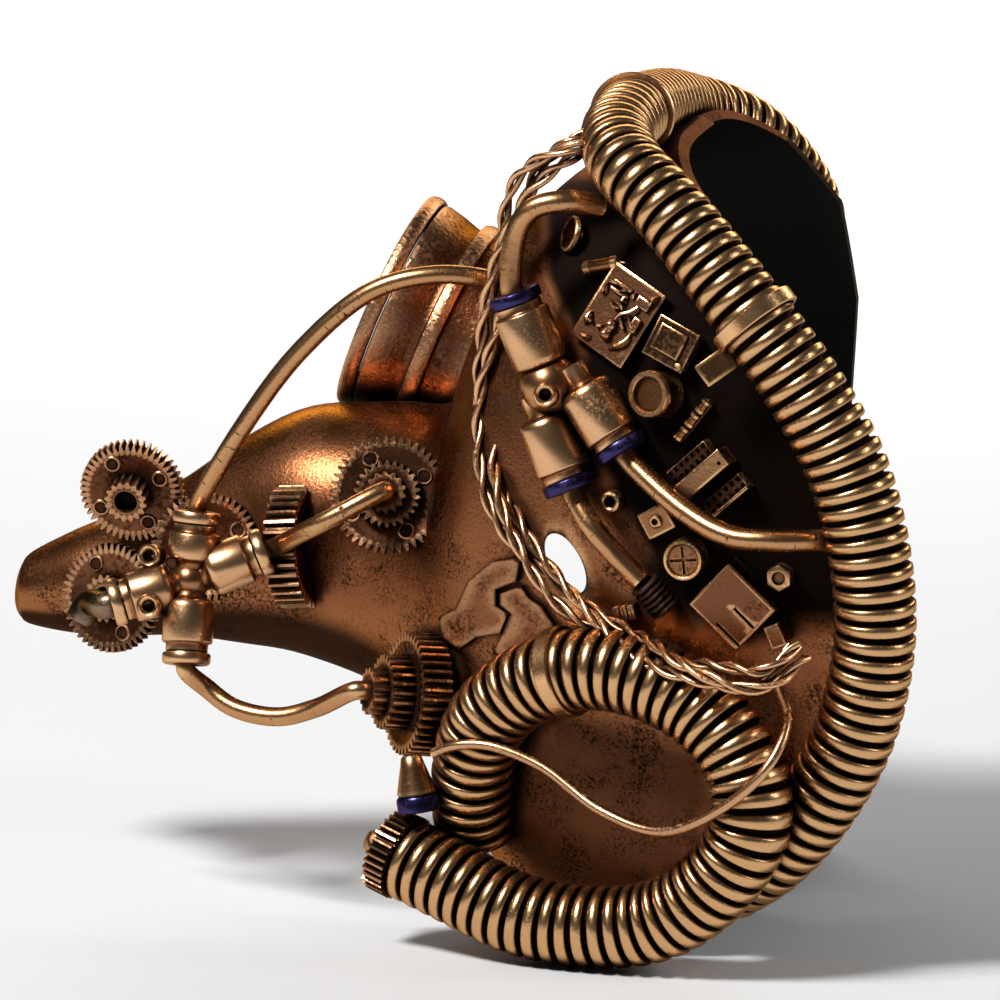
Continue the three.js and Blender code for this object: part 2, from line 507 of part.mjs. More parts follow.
// Old electronic parts glued to the temple: each stands on the shell, facing out, turned by spin
const SINK = 4; // how far the parts reach back, before they are trimmed to the shell
const onTemple = (u, v, body, spin) => {
  const { point, normal } = seat(u, v);
  return stand(body.translate(0, 0, -SINK), point, normal, spin);
};
const box = (width, height, depth) => block(width, height, depth + SINK);
const can = (radius, height, sides = 12) => rod(radius, height + SINK, sides);
const TEMPLE_PARTS = [
  { name: 'temple_disc', at: [28, 165], body: can(4.5, 4), spin: 0, material: DARK_COPPER },
  { name: 'temple_cylinder', at: [36, 156], body: can(3.4, 7), spin: 0, material: BRASS },
  { name: 'circuit_board', at: [41, 144.5], body: box(13, 19.5, 4), spin: -0.62, material: DARK_COPPER },
  { name: 'relay_plate', at: [53, 138.5], body: box(12, 11, 6), spin: -0.5, material: DARK_COPPER },
  { name: 'round_can', at: [49.4, 126], body: can(6, 8), spin: 0, material: COPPER },
  { name: 'resistor_chain', at: [57.5, 120], body: box(4, 13, 4), spin: -0.69, material: BRASS },
  { name: 'flat_block_upper', at: [59.5, 108.3], body: box(16, 9, 8), spin: 0.72, material: COPPER },
  { name: 'flat_block_lower', at: [65.5, 101.3], body: box(14, 4.6, 6), spin: 0.72, material: WORN_COPPER },
  { name: 'small_ring', at: [37.5, 100], body: can(2.8, 4, 10), spin: 0, material: BRASS },
  { name: 'small_plate', at: [48.3, 95], body: box(8, 7, 3), spin: 0.5, material: WORN_COPPER },
  { name: 'screw_cap', at: [56, 86], body: can(5.2, 6), spin: 0, material: COPPER },
  { name: 'hex_nut', at: [79, 81.5], body: can(3.4, 5, 6), spin: 0, material: BRASS },
  { name: 'slotted_box', at: [68.5, 75], body: box(16.6, 15, 8), spin: -0.75, material: WORN_COPPER },
  { name: 'box_clip', at: [79, 68], body: box(4, 6, 9), spin: 0.4, material: BRASS },
  { name: 'gold_block', at: [41, 72.5], body: box(6, 4, 4), spin: 0.2, material: BRASS },
];
for (const { name, at: [u, v], body, spin, material } of TEMPLE_PARTS) {
  add(name, glued(solid(onTemple(u, v, body, spin)), rimClear, loopClear), material);
}

// The origin is on the floor, under the middle of the whole mask
const whole = new THREE.Box3().setFromObject(mask);
const middle = whole.getCenter(new THREE.Vector3());
mask.position.set(-middle.x, -middle.y, -whole.min.z);

export default mask;
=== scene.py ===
from math import atan2, cos, radians, sin, tau
from random import Random

import bmesh
import bpy
from mathutils import Matrix, Vector
from mathutils.bvhtree import BVHTree


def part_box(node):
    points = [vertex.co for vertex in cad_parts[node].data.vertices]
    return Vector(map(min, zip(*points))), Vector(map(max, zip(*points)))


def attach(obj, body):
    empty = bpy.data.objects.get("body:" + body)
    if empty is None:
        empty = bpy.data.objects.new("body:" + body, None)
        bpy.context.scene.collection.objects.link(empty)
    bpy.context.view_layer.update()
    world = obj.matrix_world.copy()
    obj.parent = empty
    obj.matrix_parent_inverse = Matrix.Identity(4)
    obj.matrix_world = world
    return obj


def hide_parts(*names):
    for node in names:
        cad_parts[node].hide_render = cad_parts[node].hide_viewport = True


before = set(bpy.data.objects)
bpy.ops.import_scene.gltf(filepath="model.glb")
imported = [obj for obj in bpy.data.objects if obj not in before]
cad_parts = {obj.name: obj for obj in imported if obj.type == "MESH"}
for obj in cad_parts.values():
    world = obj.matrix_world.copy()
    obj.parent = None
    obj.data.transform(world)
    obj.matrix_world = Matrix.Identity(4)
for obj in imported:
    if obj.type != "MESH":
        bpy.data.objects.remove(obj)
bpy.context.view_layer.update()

# Side drawing
# The mask is drawn from its dressed side, a little turned and from a little above, in millimetres.
# u runs to the right and v up in that drawing, and y is how far a point lies from the nose's middle plane.
MM = 0.001
TURN, TILT = radians(14), radians(12)
RIGHT = Vector((cos(TURN), sin(TURN), 0))
UP = Vector((-sin(TURN) * sin(TILT), cos(TURN) * sin(TILT), cos(TILT)))
NEAR = Vector((sin(TURN) * cos(TILT), -cos(TURN) * cos(TILT), sin(TILT)))
SNOUT_TIP_X, HALF_SHELL, STAND = -116.5, 69.65, 2.8
shell_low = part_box("face_shell")[0] / MM
NOSE_PLANE = Vector((shell_low.x - SNOUT_TIP_X, shell_low.y + HALF_SHELL, shell_low.z - STAND))


def sighted(u, v, y):
    x = (u - y * RIGHT.y) / RIGHT.x
    z = (v - x * UP.x - y * UP.y) / UP.z
    return (Vector((x, y, z)) + NOSE_PLANE) * MM


def heading(right, up, near):
    return (RIGHT * right + UP * up + NEAR * near).normalized()


def place(point, axis, spin=0):
    turned = Vector(axis).to_track_quat("Z", "Y").to_matrix().to_4x4()
    return Matrix.Translation(point) @ turned @ Matrix.Rotation(spin, 4, "Z")


# Face shell
# A moulded half mask with a long nose, open behind and round the mouth, painted copper over black.
# The wall is lofted from a row of sizes for each section, then cut to its rims, mouth, eye and cheek slit.
WALL = 2.6
SHELL_ROWS = (
    # x, top, bottom, half width, squareness
    (-116.5, 73.2, 70.8, 1.2, 2), (-116.1, 76, 68.3, 4, 2), (-114.8, 80.3, 66.2, 6.8, 2),
    (-112, 83.5, 64.5, 9, 2), (-101, 89.5, 63, 12, 2), (-88, 95.5, 63, 14.5, 2), (-73, 104, 64, 17.5, 2.1),
    (-57, 115.5, 63, 22, 2.1), (-40, 124, 61, 27, 2.1), (-18, 126, 54, 34, 2.1), (-2, 128, 44, 43, 2.2),
    (8, 152, 24, 52, 2.5), (18, 175, 0, 58, 2.9), (34, 191, -30, 64, 3), (60, 202, -48, 68, 3.2),
    (90, 206, -56, 70, 3.4), (125, 207, -58, 69, 3.4),
)
RINGS_PER_ROW, RING_POINTS, LEAST_HALF = 7, 120, 0.5
# How far the cutters reach beside, behind, above, below and past the ends of the shell.
BESIDE, BEHIND, ABOVE, BELOW, PAST_ENDS = 90, 160, 230, -80, 130
# The rims of the two sides are cut apart, and the cuts overlap a little in the middle.
NEAR_CUT_TO, FAR_CUT_FROM = 10, 9
RIM_TOP = ((52, ABOVE), (52, 205))
NEAR_RIM = (
    (61, 201), (72.5, 192), (88, 178), (97.4, 167), (106, 150), (111, 130), (114, 100), (116, 70),
    (107, 46), (86, 24), (60, 0),
)
FAR_RIM = ((60, 200), (72, 189), (83, 171), (86, 145), (84, 120), (81, 60), (76, 0))
MOUTH = ((-24, 58), (-4, 52), (8, 44), (16, 32), (23, 16), (28, 0), (-40, 0))
EYE_AT, EYE_AXIS, EYE_RADIUS = (-7.2, 145, 30), (-0.9, 0.42, -0.12), 17
EYE_CUT = 90
SLIT_AT, SLIT_HALF, SLIT_LEAN, SLIT_CUT = (25.5, 84, -60), (4, 8.5), 0.5, 400
PEG_SIDES = 64


def through_rows(rows, steps, pace=0):
    """A smooth line through the rows. A pace of 0.5 keeps it from bulging where the rows are uneven."""
    rows = [Vector(row) for row in rows]
    padded = [rows[0] * 2 - rows[1], *rows, rows[-1] * 2 - rows[-2]]
    smooth = []
    for a, b, c, d in zip(padded, padded[1:], padded[2:], padded[3:]):
        before, here, after = ((end - start).length ** pace for start, end in ((a, b), (b, c), (c, d)))
        leave = ((b - a) / before - (c - a) / (before + here)) * here + c - b
        arrive = ((d - c) / after - (d - b) / (here + after)) * here + c - b
        for step in range(steps):
            t = step / steps
            bend = (c - b) * 3 - leave * 2 - arrive
            smooth.append(b + leave * t + bend * t ** 2 + ((b - c) * 2 + leave + arrive) * t ** 3)
    return smooth + [rows[-1]]


def ring_edges(verts):
    ring = set(verts)
    return list({edge for vert in verts for edge in vert.link_edges if set(edge.verts) <= ring})


def loft(bm, rings):
    loops = [ring_edges(ring) for ring in rings]
    for first, second in zip(loops, loops[1:]):
        bmesh.ops.bridge_loops(bm, edges=first + second)
    bmesh.ops.edgeloop_fill(bm, edges=loops[0])
    bmesh.ops.edgeloop_fill(bm, edges=loops[-1])
    bmesh.ops.recalc_face_normals(bm, faces=bm.faces)


def superellipse(bm, x, top, bottom, half, square):
    ring = bmesh.ops.create_circle(bm, radius=1, segments=RING_POINTS)["verts"]
    for vert in ring:
        across, up = (abs(c) ** (2 / square) * (1 if c > 0 else -1) for c in vert.co.xy)
        vert.co = Vector((x, across * half, (top + bottom) / 2 + up * (top - bottom) / 2))
    return ring


def face_form(grow):
    """The shell's whole form, grown or shrunk, before anything is cut from it."""
    bm = bmesh.new()
    rings = []
    for x, top, bottom, half, square in through_rows(SHELL_ROWS, RINGS_PER_ROW):
        if half + grow > LEAST_HALF:
            rings.append(superellipse(bm, x, top + grow, bottom - grow, half + grow, square))
    loft(bm, rings)
    bmesh.ops.transform(bm, matrix=Matrix.Scale(MM, 4) @ Matrix.Translation(NOSE_PLANE), verts=bm.verts)
    return bm


def of_kind(kind, geometry):
    return [element for element in geometry if isinstance(element, kind)]


def slab(outline, from_y, to_y):
    bm = bmesh.new()
    face = bm.faces.new([bm.verts.new((x, from_y, z)) for x, z in outline])
    swept = of_kind(bmesh.types.BMVert, bmesh.ops.extrude_face_region(bm, geom=[face])["geom"])
    bmesh.ops.translate(bm, vec=(0, to_y - from_y, 0), verts=swept)
    bmesh.ops.transform(bm, matrix=Matrix.Scale(MM, 4) @ Matrix.Translation(NOSE_PLANE), verts=bm.verts)
    bmesh.ops.recalc_face_normals(bm, faces=bm.faces)
    return bm


def peg(point, axis, across, length, lean=0):
    bm = bmesh.new()
    bmesh.ops.create_cone(bm, cap_ends=True, segments=PEG_SIDES, radius1=MM, radius2=MM, depth=length * MM)
    bmesh.ops.scale(bm, vec=(across[0], across[1], 1), verts=bm.verts)
    bmesh.ops.transform(bm, matrix=place(point, axis, lean), verts=bm.verts)
    return bm


def as_object(name, bm):
    mesh = bpy.data.meshes.new(name)
    bm.to_mesh(mesh)
    bm.free()
    piece = bpy.data.objects.new(name, mesh)
    bpy.context.scene.collection.objects.link(piece)
    return piece


def cut_away(piece, cutters):
    for cutter in cutters:
        tool = as_object("cutter", cutter)
        cut = piece.modifiers.new("cut", "BOOLEAN")
        cut.operation, cut.solver, cut.object = "DIFFERENCE", "EXACT", tool
        bpy.context.view_layer.update()
        solid = bpy.data.meshes.new_from_object(piece.evaluated_get(bpy.context.evaluated_depsgraph_get()))
        piece.modifiers.clear()
        piece.data = solid
        bpy.data.objects.remove(tool)


floor_block = ((-PAST_ENDS, BELOW), (PAST_ENDS, BELOW), (PAST_ENDS, STAND), (-PAST_ENDS, STAND))
shell = as_object("face_shell_painted", face_form(0))
cut_away(shell, [
    face_form(-WALL),
    slab((*RIM_TOP, *NEAR_RIM, (BEHIND, 0), (BEHIND, ABOVE)), -BESIDE, NEAR_CUT_TO),
    slab((*RIM_TOP, *FAR_RIM, (BEHIND, 0), (BEHIND, ABOVE)), FAR_CUT_FROM, BESIDE),
    slab(MOUTH, -BESIDE, BESIDE),
    slab(floor_block, -BESIDE, BESIDE),
    peg(sighted(*EYE_AT), heading(*EYE_AXIS), (EYE_RADIUS, EYE_RADIUS), EYE_CUT),
    peg(sighted(*SLIT_AT), NEAR, SLIT_HALF, SLIT_CUT, SLIT_LEAN),
])
shell_form = face_form(0)
shell_skin = BVHTree.FromBMesh(shell_form)
shell_form.free()
shell_faces = [polygon.vertices for polygon in shell.data.polygons]
shell_wall = BVHTree.FromPolygons([vert.co for vert in shell.data.vertices], shell_faces)


def wire(tree, output, target):
    tree.links.new(output, target)


def paint_group():
    """Copper paint over black: a mottled body, black left in the hollows and darkened there as painted shade,
    and bright rubs on the edges.
    """
    tree = bpy.data.node_groups.new("rubbed_paint", "ShaderNodeTree")
    sockets = tree.interface
    for name in ("Ground", "Body", "Rub"):
        sockets.new_socket(name, in_out="INPUT", socket_type="NodeSocketColor")
    for name in ("Grain", "Cover", "Edge", "Hollow", "Black_And_Shade"):
        sockets.new_socket(name, in_out="INPUT", socket_type="NodeSocketFloat")
    sockets.new_socket("Color", in_out="OUTPUT", socket_type="NodeSocketColor")
    for name in ("Shine", "Roughness", "Height"):
        sockets.new_socket(name, in_out="OUTPUT", socket_type="NodeSocketFloat")
    given = tree.nodes.new("NodeGroupInput").outputs
    out = tree.nodes.new("NodeGroupOutput").inputs
    where = tree.nodes.new("ShaderNodeTexCoord").outputs["Object"]

    def noise(scale, detail, rough):
        node = tree.nodes.new("ShaderNodeTexNoise")
        node.inputs["Detail"].default_value = detail
        node.inputs["Roughness"].default_value = rough
        wire(tree, where, node.inputs["Vector"])
        if isinstance(scale, (int, float)):
            node.inputs["Scale"].default_value = scale
        else:
            wire(tree, scale, node.inputs["Scale"])
        return node.outputs["Fac"]

    def ramp(value, low, high, to_low=0, to_high=1):
        node = tree.nodes.new("ShaderNodeMapRange")
        node.interpolation_type = "SMOOTHSTEP"
        span = {"From Min": low, "From Max": high, "To Min": to_low, "To Max": to_high}
        for name, number in span.items():
            node.inputs[name].default_value = number
        wire(tree, value, node.inputs["Value"])
        return node.outputs["Result"]

    def sums(operation, first, second):
        node = tree.nodes.new("ShaderNodeMath")
        node.operation, node.use_clamp = operation, True
        for socket, value in zip(node.inputs, (first, second)):
            wire(tree, value, socket)
        return node.outputs[0]

    def blended(factor, first, second):
        node = tree.nodes.new("ShaderNodeMix")
        node.data_type = "RGBA"
        first_colour, second_colour, mixed_colour = node.inputs[6], node.inputs[7], node.outputs[2]
        wire(tree, factor, node.inputs["Factor"])
        wire(tree, first, first_colour)
        wire(tree, second, second_colour)
        return mixed_colour

    sharpness = tree.nodes.new("ShaderNodeNewGeometry").outputs["Pointiness"]
    hollow_shade = tree.nodes.new("ShaderNodeAmbientOcclusion")
    hollow_shade.samples = 6
    hollow_shade.inputs["Distance"].default_value = 5 * MM
    grain = noise(given["Grain"], 4, 0.62)
    cloud = noise(85, 3, 0.55)
    # The brush reaches open places and leaves the black ground in hollows and grooves, and these are darkened
    # further as painted shade, also where one part meets another.
    open_and_lit = sums("POWER", hollow_shade.outputs["AO"], given["Hollow"])
    open_and_lit = sums("MULTIPLY", open_and_lit, ramp(given["Black_And_Shade"], 0.15, 0.85, 1, 0))
    # The body colour is mottled by the grain and thinner in broad clouds.
    mottled = sums("ADD", ramp(grain, 0.36, 0.62), sums("SUBTRACT", given["Cover"], ramp(cloud, 0.3, 0.7)))
    covered = sums("MULTIPLY", mottled, ramp(open_and_lit, 0.12, 0.75))
    # Sharp edges are rubbed bright, and so are the highest grains.
    worn = sums("MULTIPLY", ramp(sharpness, 0.505, 0.56), given["Edge"])
    grains = ramp(grain, 0.6, 0.8, 0, 0.3)
    rubbed = sums("MULTIPLY", sums("ADD", worn, grains), ramp(open_and_lit, 0.35, 0.8))
    coated = blended(covered, given["Ground"], given["Body"])
    wire(tree, blended(rubbed, coated, given["Rub"]), out["Color"])
    wire(tree, ramp(sums("MAXIMUM", covered, rubbed), 0, 1, 0.7, 1), out["Shine"])
    wire(tree, ramp(covered, 0, 1, 0.6, 0.27), out["Roughness"])
    wire(tree, grain, out["Height"])
    return tree


PAINT = paint_group()
BLACK_GROUND = (0.006, 0.0035, 0.0025)
GROUND_GLOSS, GLANCING_TINT, GRAIN_HEIGHT = 0.07, (0.6, 0.44, 0.34, 1), 0.6


def painted(name, body, rub, ground=BLACK_GROUND, grain=600, cover=0.55, edge=0.8, hollow=1.6, relief=0.12):
    material = bpy.data.materials.new(name)
    material.use_nodes = True
    tree = material.node_tree
    shader = tree.nodes["Principled BSDF"]
    shader.inputs["Specular IOR Level"].default_value = GROUND_GLOSS
    shader.inputs["Specular Tint"].default_value = GLANCING_TINT
    coat = tree.nodes.new("ShaderNodeGroup")
    coat.node_tree = PAINT
    for socket, colour in (("Ground", ground), ("Body", body), ("Rub", rub)):
        coat.inputs[socket].default_value = (*colour, 1)
    for socket, value in (("Grain", grain), ("Cover", cover), ("Edge", edge), ("Hollow", hollow)):
        coat.inputs[socket].default_value = value
    # A vertex attribute darkens the paint where the black shows, at cracks, torn edges, dimple floors and
    # grooves, and where shade is painted on the shell and in the hose grooves.
    black_and_shade = tree.nodes.new("ShaderNodeAttribute")
    black_and_shade.attribute_name = "black_and_shade"
    wire(tree, black_and_shade.outputs["Fac"], coat.inputs["Black_And_Shade"])
    bump = tree.nodes.new("ShaderNodeBump")
    bump.inputs["Strength"].default_value = relief
    bump.inputs["Distance"].default_value = GRAIN_HEIGHT * MM
    wire(tree, coat.outputs["Color"], shader.inputs["Base Color"])
    wire(tree, coat.outputs["Shine"], shader.inputs["Metallic"])
    wire(tree, coat.outputs["Roughness"], shader.inputs["Roughness"])
    wire(tree, coat.outputs["Height"], bump.inputs["Height"])
    wire(tree, bump.outputs["Normal"], shader.inputs["Normal"])
    return material


SUNK, WALL_IS_THERE = 1.2, 0.3


def stopped_in_wall(piece):
    """Whatever reaches through the shell's wall is pushed back, so that nothing shows on the inside."""
    for vert in piece.data.vertices:
        skin, outward, _, far = shell_skin.find_nearest(vert.co)
        too_deep = far > SUNK * MM and outward.dot(vert.co - skin) < 0
        if too_deep and shell_wall.find_nearest(skin)[3] < WALL_IS_THERE * MM:
            vert.co = skin - outward * SUNK * MM


def finished(piece, nodes, materials, sharp=35):
    for material in materials:
        piece.data.materials.append(material)
    for polygon in piece.data.polygons:
        polygon.use_smooth = True
    piece.data.set_sharp_from_angle(angle=radians(sharp))
    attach(piece, "root")
    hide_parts(*nodes)


SHELL_COPPER = painted("shell_copper", (0.3, 0.112, 0.045), (0.8, 0.42, 0.2), grain=1300, cover=1,
                       relief=0.2)
SHELL_BLACK = painted("shell_black", (0.05, 0.055, 0.053), (0.06, 0.062, 0.06), cover=2, edge=0.1,
                      relief=0.04)
finished(shell, ["face_shell"], [SHELL_COPPER, SHELL_BLACK])
OFF_SKIN, NOT_OUTWARD = 0.2, 0.2
for polygon in shell.data.polygons:
    _, outward, _, far = shell_skin.find_nearest(polygon.center)
    if far > OFF_SKIN * MM and polygon.normal.dot(outward) < NOT_OUTWARD:
        polygon.material_index = 1

# The shell's paint is darkened on the temple, by a painted shadow inside the hose loop, and by painted shade
# on the underside and along the rim.
TEMPLE_LOW, TEMPLE_HIGH, TEMPLE_LEFT, TEMPLE_FADE, TEMPLE_DARK = 58, 190, 21, 13, 0.78
LEANS_BELOW, LEANS_ABOVE, TEMPLE_LEAN, MOST_LEAN = 118, 136, 0.5, 10
LOOP_MIDDLE, LOOP_REACH, LOOP_EDGE, LOOP_SHADOW = Vector((36, 26)), 38, 1.15, 0.55
RIM_HIGH, RIM_BEHIND, RIM_SHADE = 194, 44, 0.56
EAR_U, EAR_V, EAR_LEAN = 50, 172.5, 0.784
UNDER_SHADE, UNDER_GAIN = 0.62, 1.25
dark_and_shade = shell.data.attributes.new("black_and_shade", "FLOAT", "POINT").data
for vert, vert_dark_and_shade in zip(shell.data.vertices, dark_and_shade):
    flat = vert.co / MM - NOSE_PLANE
    u, v = flat.dot(RIGHT), flat.dot(UP)
    temple_edge = TEMPLE_LEFT + max(0, LEANS_BELOW - v) * TEMPLE_LEAN
    temple_edge -= max(0, min(MOST_LEAN, (v - LEANS_ABOVE) * TEMPLE_LEAN))
    in_temple = min(u - temple_edge, v - TEMPLE_LOW, TEMPLE_HIGH - v) / TEMPLE_FADE
    # Inside the hose loop the shell gets a painted shadow of the loop.
    in_loop = (LOOP_EDGE - (Vector((u, v)) - LOOP_MIDDLE).length / LOOP_REACH) * 2
    # Along the rim, beside the hose, the shell gets painted shade.
    on_brow = flat.z > RIM_HIGH and flat.x > RIM_BEHIND
    if on_brow or u - EAR_U > (EAR_V - v) * EAR_LEAN:
        vert_dark_and_shade.value = RIM_SHADE
    elif flat.y < 0:
        # Faces that turn downwards get painted shade.
        under = min(UNDER_SHADE, -UNDER_GAIN * vert.normal.z)
        vert_dark_and_shade.value = max(TEMPLE_DARK * min(1, in_temple), LOOP_SHADOW * min(1, in_loop), under, 0)

# Ribbed hoses
# Two lengths of corrugated conduit, painted black and then gilt on the crests of the ribs, with painted shade
# in the grooves.
# One is glued along the rim from the far brow to the ear, and the other is bent into a loop on the cheek.
HOSE_RADIUS, RIB_DEPTH, RIB_PITCH, HOSE_SIDES = 10.4, 2.1, 4.25, 30
# The rim hose is stretched slimmer towards the brow.
SLIM_FROM, SLIM_TO, SLIMMED = 110, 175, 0.1
RIB_PROFILE = (
    # share of the pitch, share of the depth
    (0, 1), (0.12, 0.95), (0.17, 0.3), (0.25, 0.05), (0.5, 0), (0.75, 0.05), (0.83, 0.3), (0.88, 0.95),
)
RIM_ROUTE = (
    (80, 140, 75), (84, 150, 74.5), (87, 163, 72.5), (87, 172, 70), (84, 179, 67.5), (78, 187, 63),
    (71, 193, 57), (64, 196.3, 51), (57, 198.2, 42), (51, 199.2, 22), (44.5, 197.5, -8), (41, 195, -30),
    (38, 189.5, -48), (41, 182, -62), (50, 172.5, -70), (70, 147, -79), (85, 126, -81), (95, 107, -81),
    (100.5, 85, -81), (101.5, 65, -80), (97, 43, -78), (87.5, 25, -75), (76, 12, -71), (65, 5, -66),
)
LOOP_ROUTE = (
    (-14, 10.5, -70), (-3, 5, -74), (14, -3, -79), (31, -6, -82), (49, -4, -84), (63, 6, -87),
    (71, 20, -89), (69, 35, -88), (59, 48, -85), (44, 56, -82), (29, 58, -78), (14, 53, -73), (5, 44, -69),
    (2, 30, -63), (3, 17, -56),
)
ROUTE_STEPS, ROUTE_PACE = 24, 0.5
HOSE_GILT = painted("hose_gilt", (0.29, 0.125, 0.054), (0.88, 0.53, 0.25), grain=900, cover=1.5, edge=0.7,
                    hollow=1.8)


def stations(points, spacing):
    """Places at an even spacing along a smooth line through the points, each facing along it."""
    dense = through_rows(points, ROUTE_STEPS, ROUTE_PACE)
    lengths = [0]
    for first, second in zip(dense, dense[1:]):
        lengths.append(lengths[-1] + (second - first).length)
    count = max(2, round(lengths[-1] / (spacing * MM)))
    even, span = [], 0
    for step in range(count + 1):
        target = lengths[-1] * step / count
        while span < len(lengths) - 2 and lengths[span + 1] < target:
            span += 1
        share = (target - lengths[span]) / (lengths[span + 1] - lengths[span])
        even.append(dense[span].lerp(dense[span + 1], share))
    tangents = [(b - a).normalized() for a, b in zip([even[0], *even], [*even[1:], even[-1]])]
    tangents[0] = (even[1] - even[0]).normalized()
    facing = tangents[0].to_track_quat("Z", "Y")
    placed = []
    for index, point in enumerate(even):
        if index:
            facing = tangents[index - 1].rotation_difference(tangents[index]) @ facing
        placed.append(Matrix.Translation(point) @ facing.to_matrix().to_4x4())
    return placed


def ribbed_hose(name, route, nodes):
    bm = bmesh.new()
    black_and_shade = bm.verts.layers.float.new("black_and_shade")
    line = stations([sighted(*row) for row in route], RIB_PITCH)
    rings = []
    for here, there in zip(line, line[1:]):
        height = here.translation.dot(UP) / MM - NOSE_PLANE.dot(UP)
        slim = 1 - SLIMMED * min(1, max(0, (height - SLIM_FROM) / (SLIM_TO - SLIM_FROM)))
        for share, depth in RIB_PROFILE:
            radius = (HOSE_RADIUS - RIB_DEPTH * depth) * slim * MM
            at = here.lerp(there, share)
            ring = bmesh.ops.create_circle(bm, radius=radius, segments=HOSE_SIDES, matrix=at)["verts"]
            # Each ring is darkened by its depth: black left in the grooves, and painted shade in them.
            for vert in ring:
                vert[black_and_shade] = depth
            rings.append(ring)
    loft(bm, rings)
    hose = as_object(name, bm)
    stopped_in_wall(hose)
    finished(hose, nodes, [HOSE_GILT], 60)
    return line


rim_line = ribbed_hose("rim_hose_ribbed", RIM_ROUTE, ["rim_hose"])
loop_line = ribbed_hose("loop_hose_ribbed", LOOP_ROUTE, ["loop_hose"])

# Hose ties
# Flat bands with a square head, and a twisted wire, pulled tight round the hoses to hold them to the rim.
# The bands are nylon, painted with the hoses.
TIE_GILT = painted("tie_gilt", (0.36, 0.16, 0.065), (0.85, 0.5, 0.24), grain=900, cover=1.5)
WIRE_COPPER = painted("wire_copper", (0.38, 0.16, 0.07), (0.88, 0.52, 0.28), grain=900, cover=1.2,
                      hollow=1.5)
TIES = (
    # name, node, hose, width, thickness, how far off the hose, slot, coat
    ("rim_band_flat", "rim_band", rim_line, 3.9, 1.1, 0.1, "gilt_fitting", TIE_GILT),
    ("loop_band_flat", "loop_band", loop_line, 3.9, 1.1, 0.1, "gilt_fitting", TIE_GILT),
    ("brow_tie_wire", "brow_tie", rim_line, 1.4, 1.5, -1.2, "copper_wire", WIRE_COPPER),
)
BAND_HEAD_AT, BAND_HEAD_SIZE, BAND_HEAD_SPIN, BAND_HEAD_EDGE = (62.5, 133, -77), (9.5, 6.4, 5), 0.62, 0.6
SAME_POINT = 1e-6


def added(bm, before):
    return [vert for vert in bm.verts if vert not in before]


def faces_on(verts):
    return list({face for vert in verts for face in vert.link_faces})


def edges_on(verts):
    return list({edge for vert in verts for edge in vert.link_edges})


def lathe(bm, profile, matrix, steps=48, closed=False):
    """Turns a profile of radius and height, in millimetres, about the axis of the place."""
    before = set(bm.verts)
    rim = [bm.verts.new((radius * MM, 0, height * MM)) for radius, height in profile]
    pairs = list(zip(rim, rim[1:])) + ([(rim[-1], rim[0])] if closed else [])
    edges = [bm.edges.new(pair) for pair in pairs]
    spun = rim + edges
    bmesh.ops.spin(bm, geom=spun, cent=(0, 0, 0), axis=(0, 0, 1), angle=tau, steps=steps, use_merge=True)
    bmesh.ops.remove_doubles(bm, verts=added(bm, before), dist=SAME_POINT)
    made = added(bm, before)
    bmesh.ops.recalc_face_normals(bm, faces=faces_on(made))
    bmesh.ops.transform(bm, matrix=matrix, verts=made)
    return made


def rounded(bm, edges, radius, segments=2):
    bmesh.ops.bevel(bm, geom=edges, offset=radius * MM, segments=segments, profile=0.5, affect="EDGES",
                    material=-1)


def bevelled_box(bm, size, matrix, edge=0.4, segments=2):
    """A box with rounded edges, whose six sides are inset so that the rub stays close to the edges."""
    before = set(bm.verts)
    cube = bmesh.ops.create_cube(bm, size=1)["verts"]
    bmesh.ops.scale(bm, vec=[side * MM for side in size], verts=cube)
    rounded(bm, edges_on(cube), edge, segments)
    sides = sorted(faces_on(added(bm, before)), key=lambda face: -face.calc_area())[:6]
    bmesh.ops.inset_individual(bm, faces=sides, thickness=edge * MM, use_even_offset=True)
    bmesh.ops.transform(bm, matrix=matrix, verts=added(bm, before))


def band_profile(inner, thick, width, edge=0.3):
    half, outer = width / 2, inner + thick
    return ((inner, -half), (outer - edge, -half), (outer, edge - half), (outer, half - edge),
            (outer - edge, half), (inner, half))


def nearest_station(line, node):
    low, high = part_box(node)
    return min(line, key=lambda at: (at.translation - (low + high) / 2).length)


for name, node, line, width, thick, clear, slot, coat in TIES:
    band = bmesh.new()
    lathe(band, band_profile(HOSE_RADIUS + clear, thick, width), nearest_station(line, node), 64, closed=True)
    finished(as_object(name, band), [node], [coat])

head = bmesh.new()
head_middle = sighted(*BAND_HEAD_AT) + NEAR * BAND_HEAD_SIZE[2] / 2 * MM
bevelled_box(head, BAND_HEAD_SIZE, place(head_middle, NEAR, BAND_HEAD_SPIN), BAND_HEAD_EDGE)
finished(as_object("rim_band_block", head), ["rim_band_head"], [TIE_GILT])

# Goggle
# A turned eyepiece over the far eye: a rough cup with a flange, and a round ring at its mouth.
# It is a plain tube with no glass, glued over the eye hole and painted like old copper.
CUP_PROFILE = (
    (22.5, -39), (25.4, -39), (25.9, -24), (26.1, -8), (26.3, -6.2), (27.6, -5.6), (28, -4.6), (28, -3),
    (27.6, -1.8), (26, -1.2), (25.7, -0.4), (26, 0.8), (26.9, 4), (27.8, 8.6), (27.7, 9.6), (27, 10),
    (24.5, 10), (23.5, 4), (22.5, -5),
)
RING_PROFILE = (
    (25.5, 0), (28.3, 0), (28.8, 0.7), (28.9, 2), (28.7, 3.2), (28.2, 3.8), (27, 4), (26, 3.7), (25.5, 2.8),
)
RING_OUT, CUP_SIDES = 10.3, 96
CUP_COPPER = painted("cup_copper", (0.2, 0.078, 0.035), (0.78, 0.42, 0.22), grain=800, cover=1.15,
                     relief=0.5)
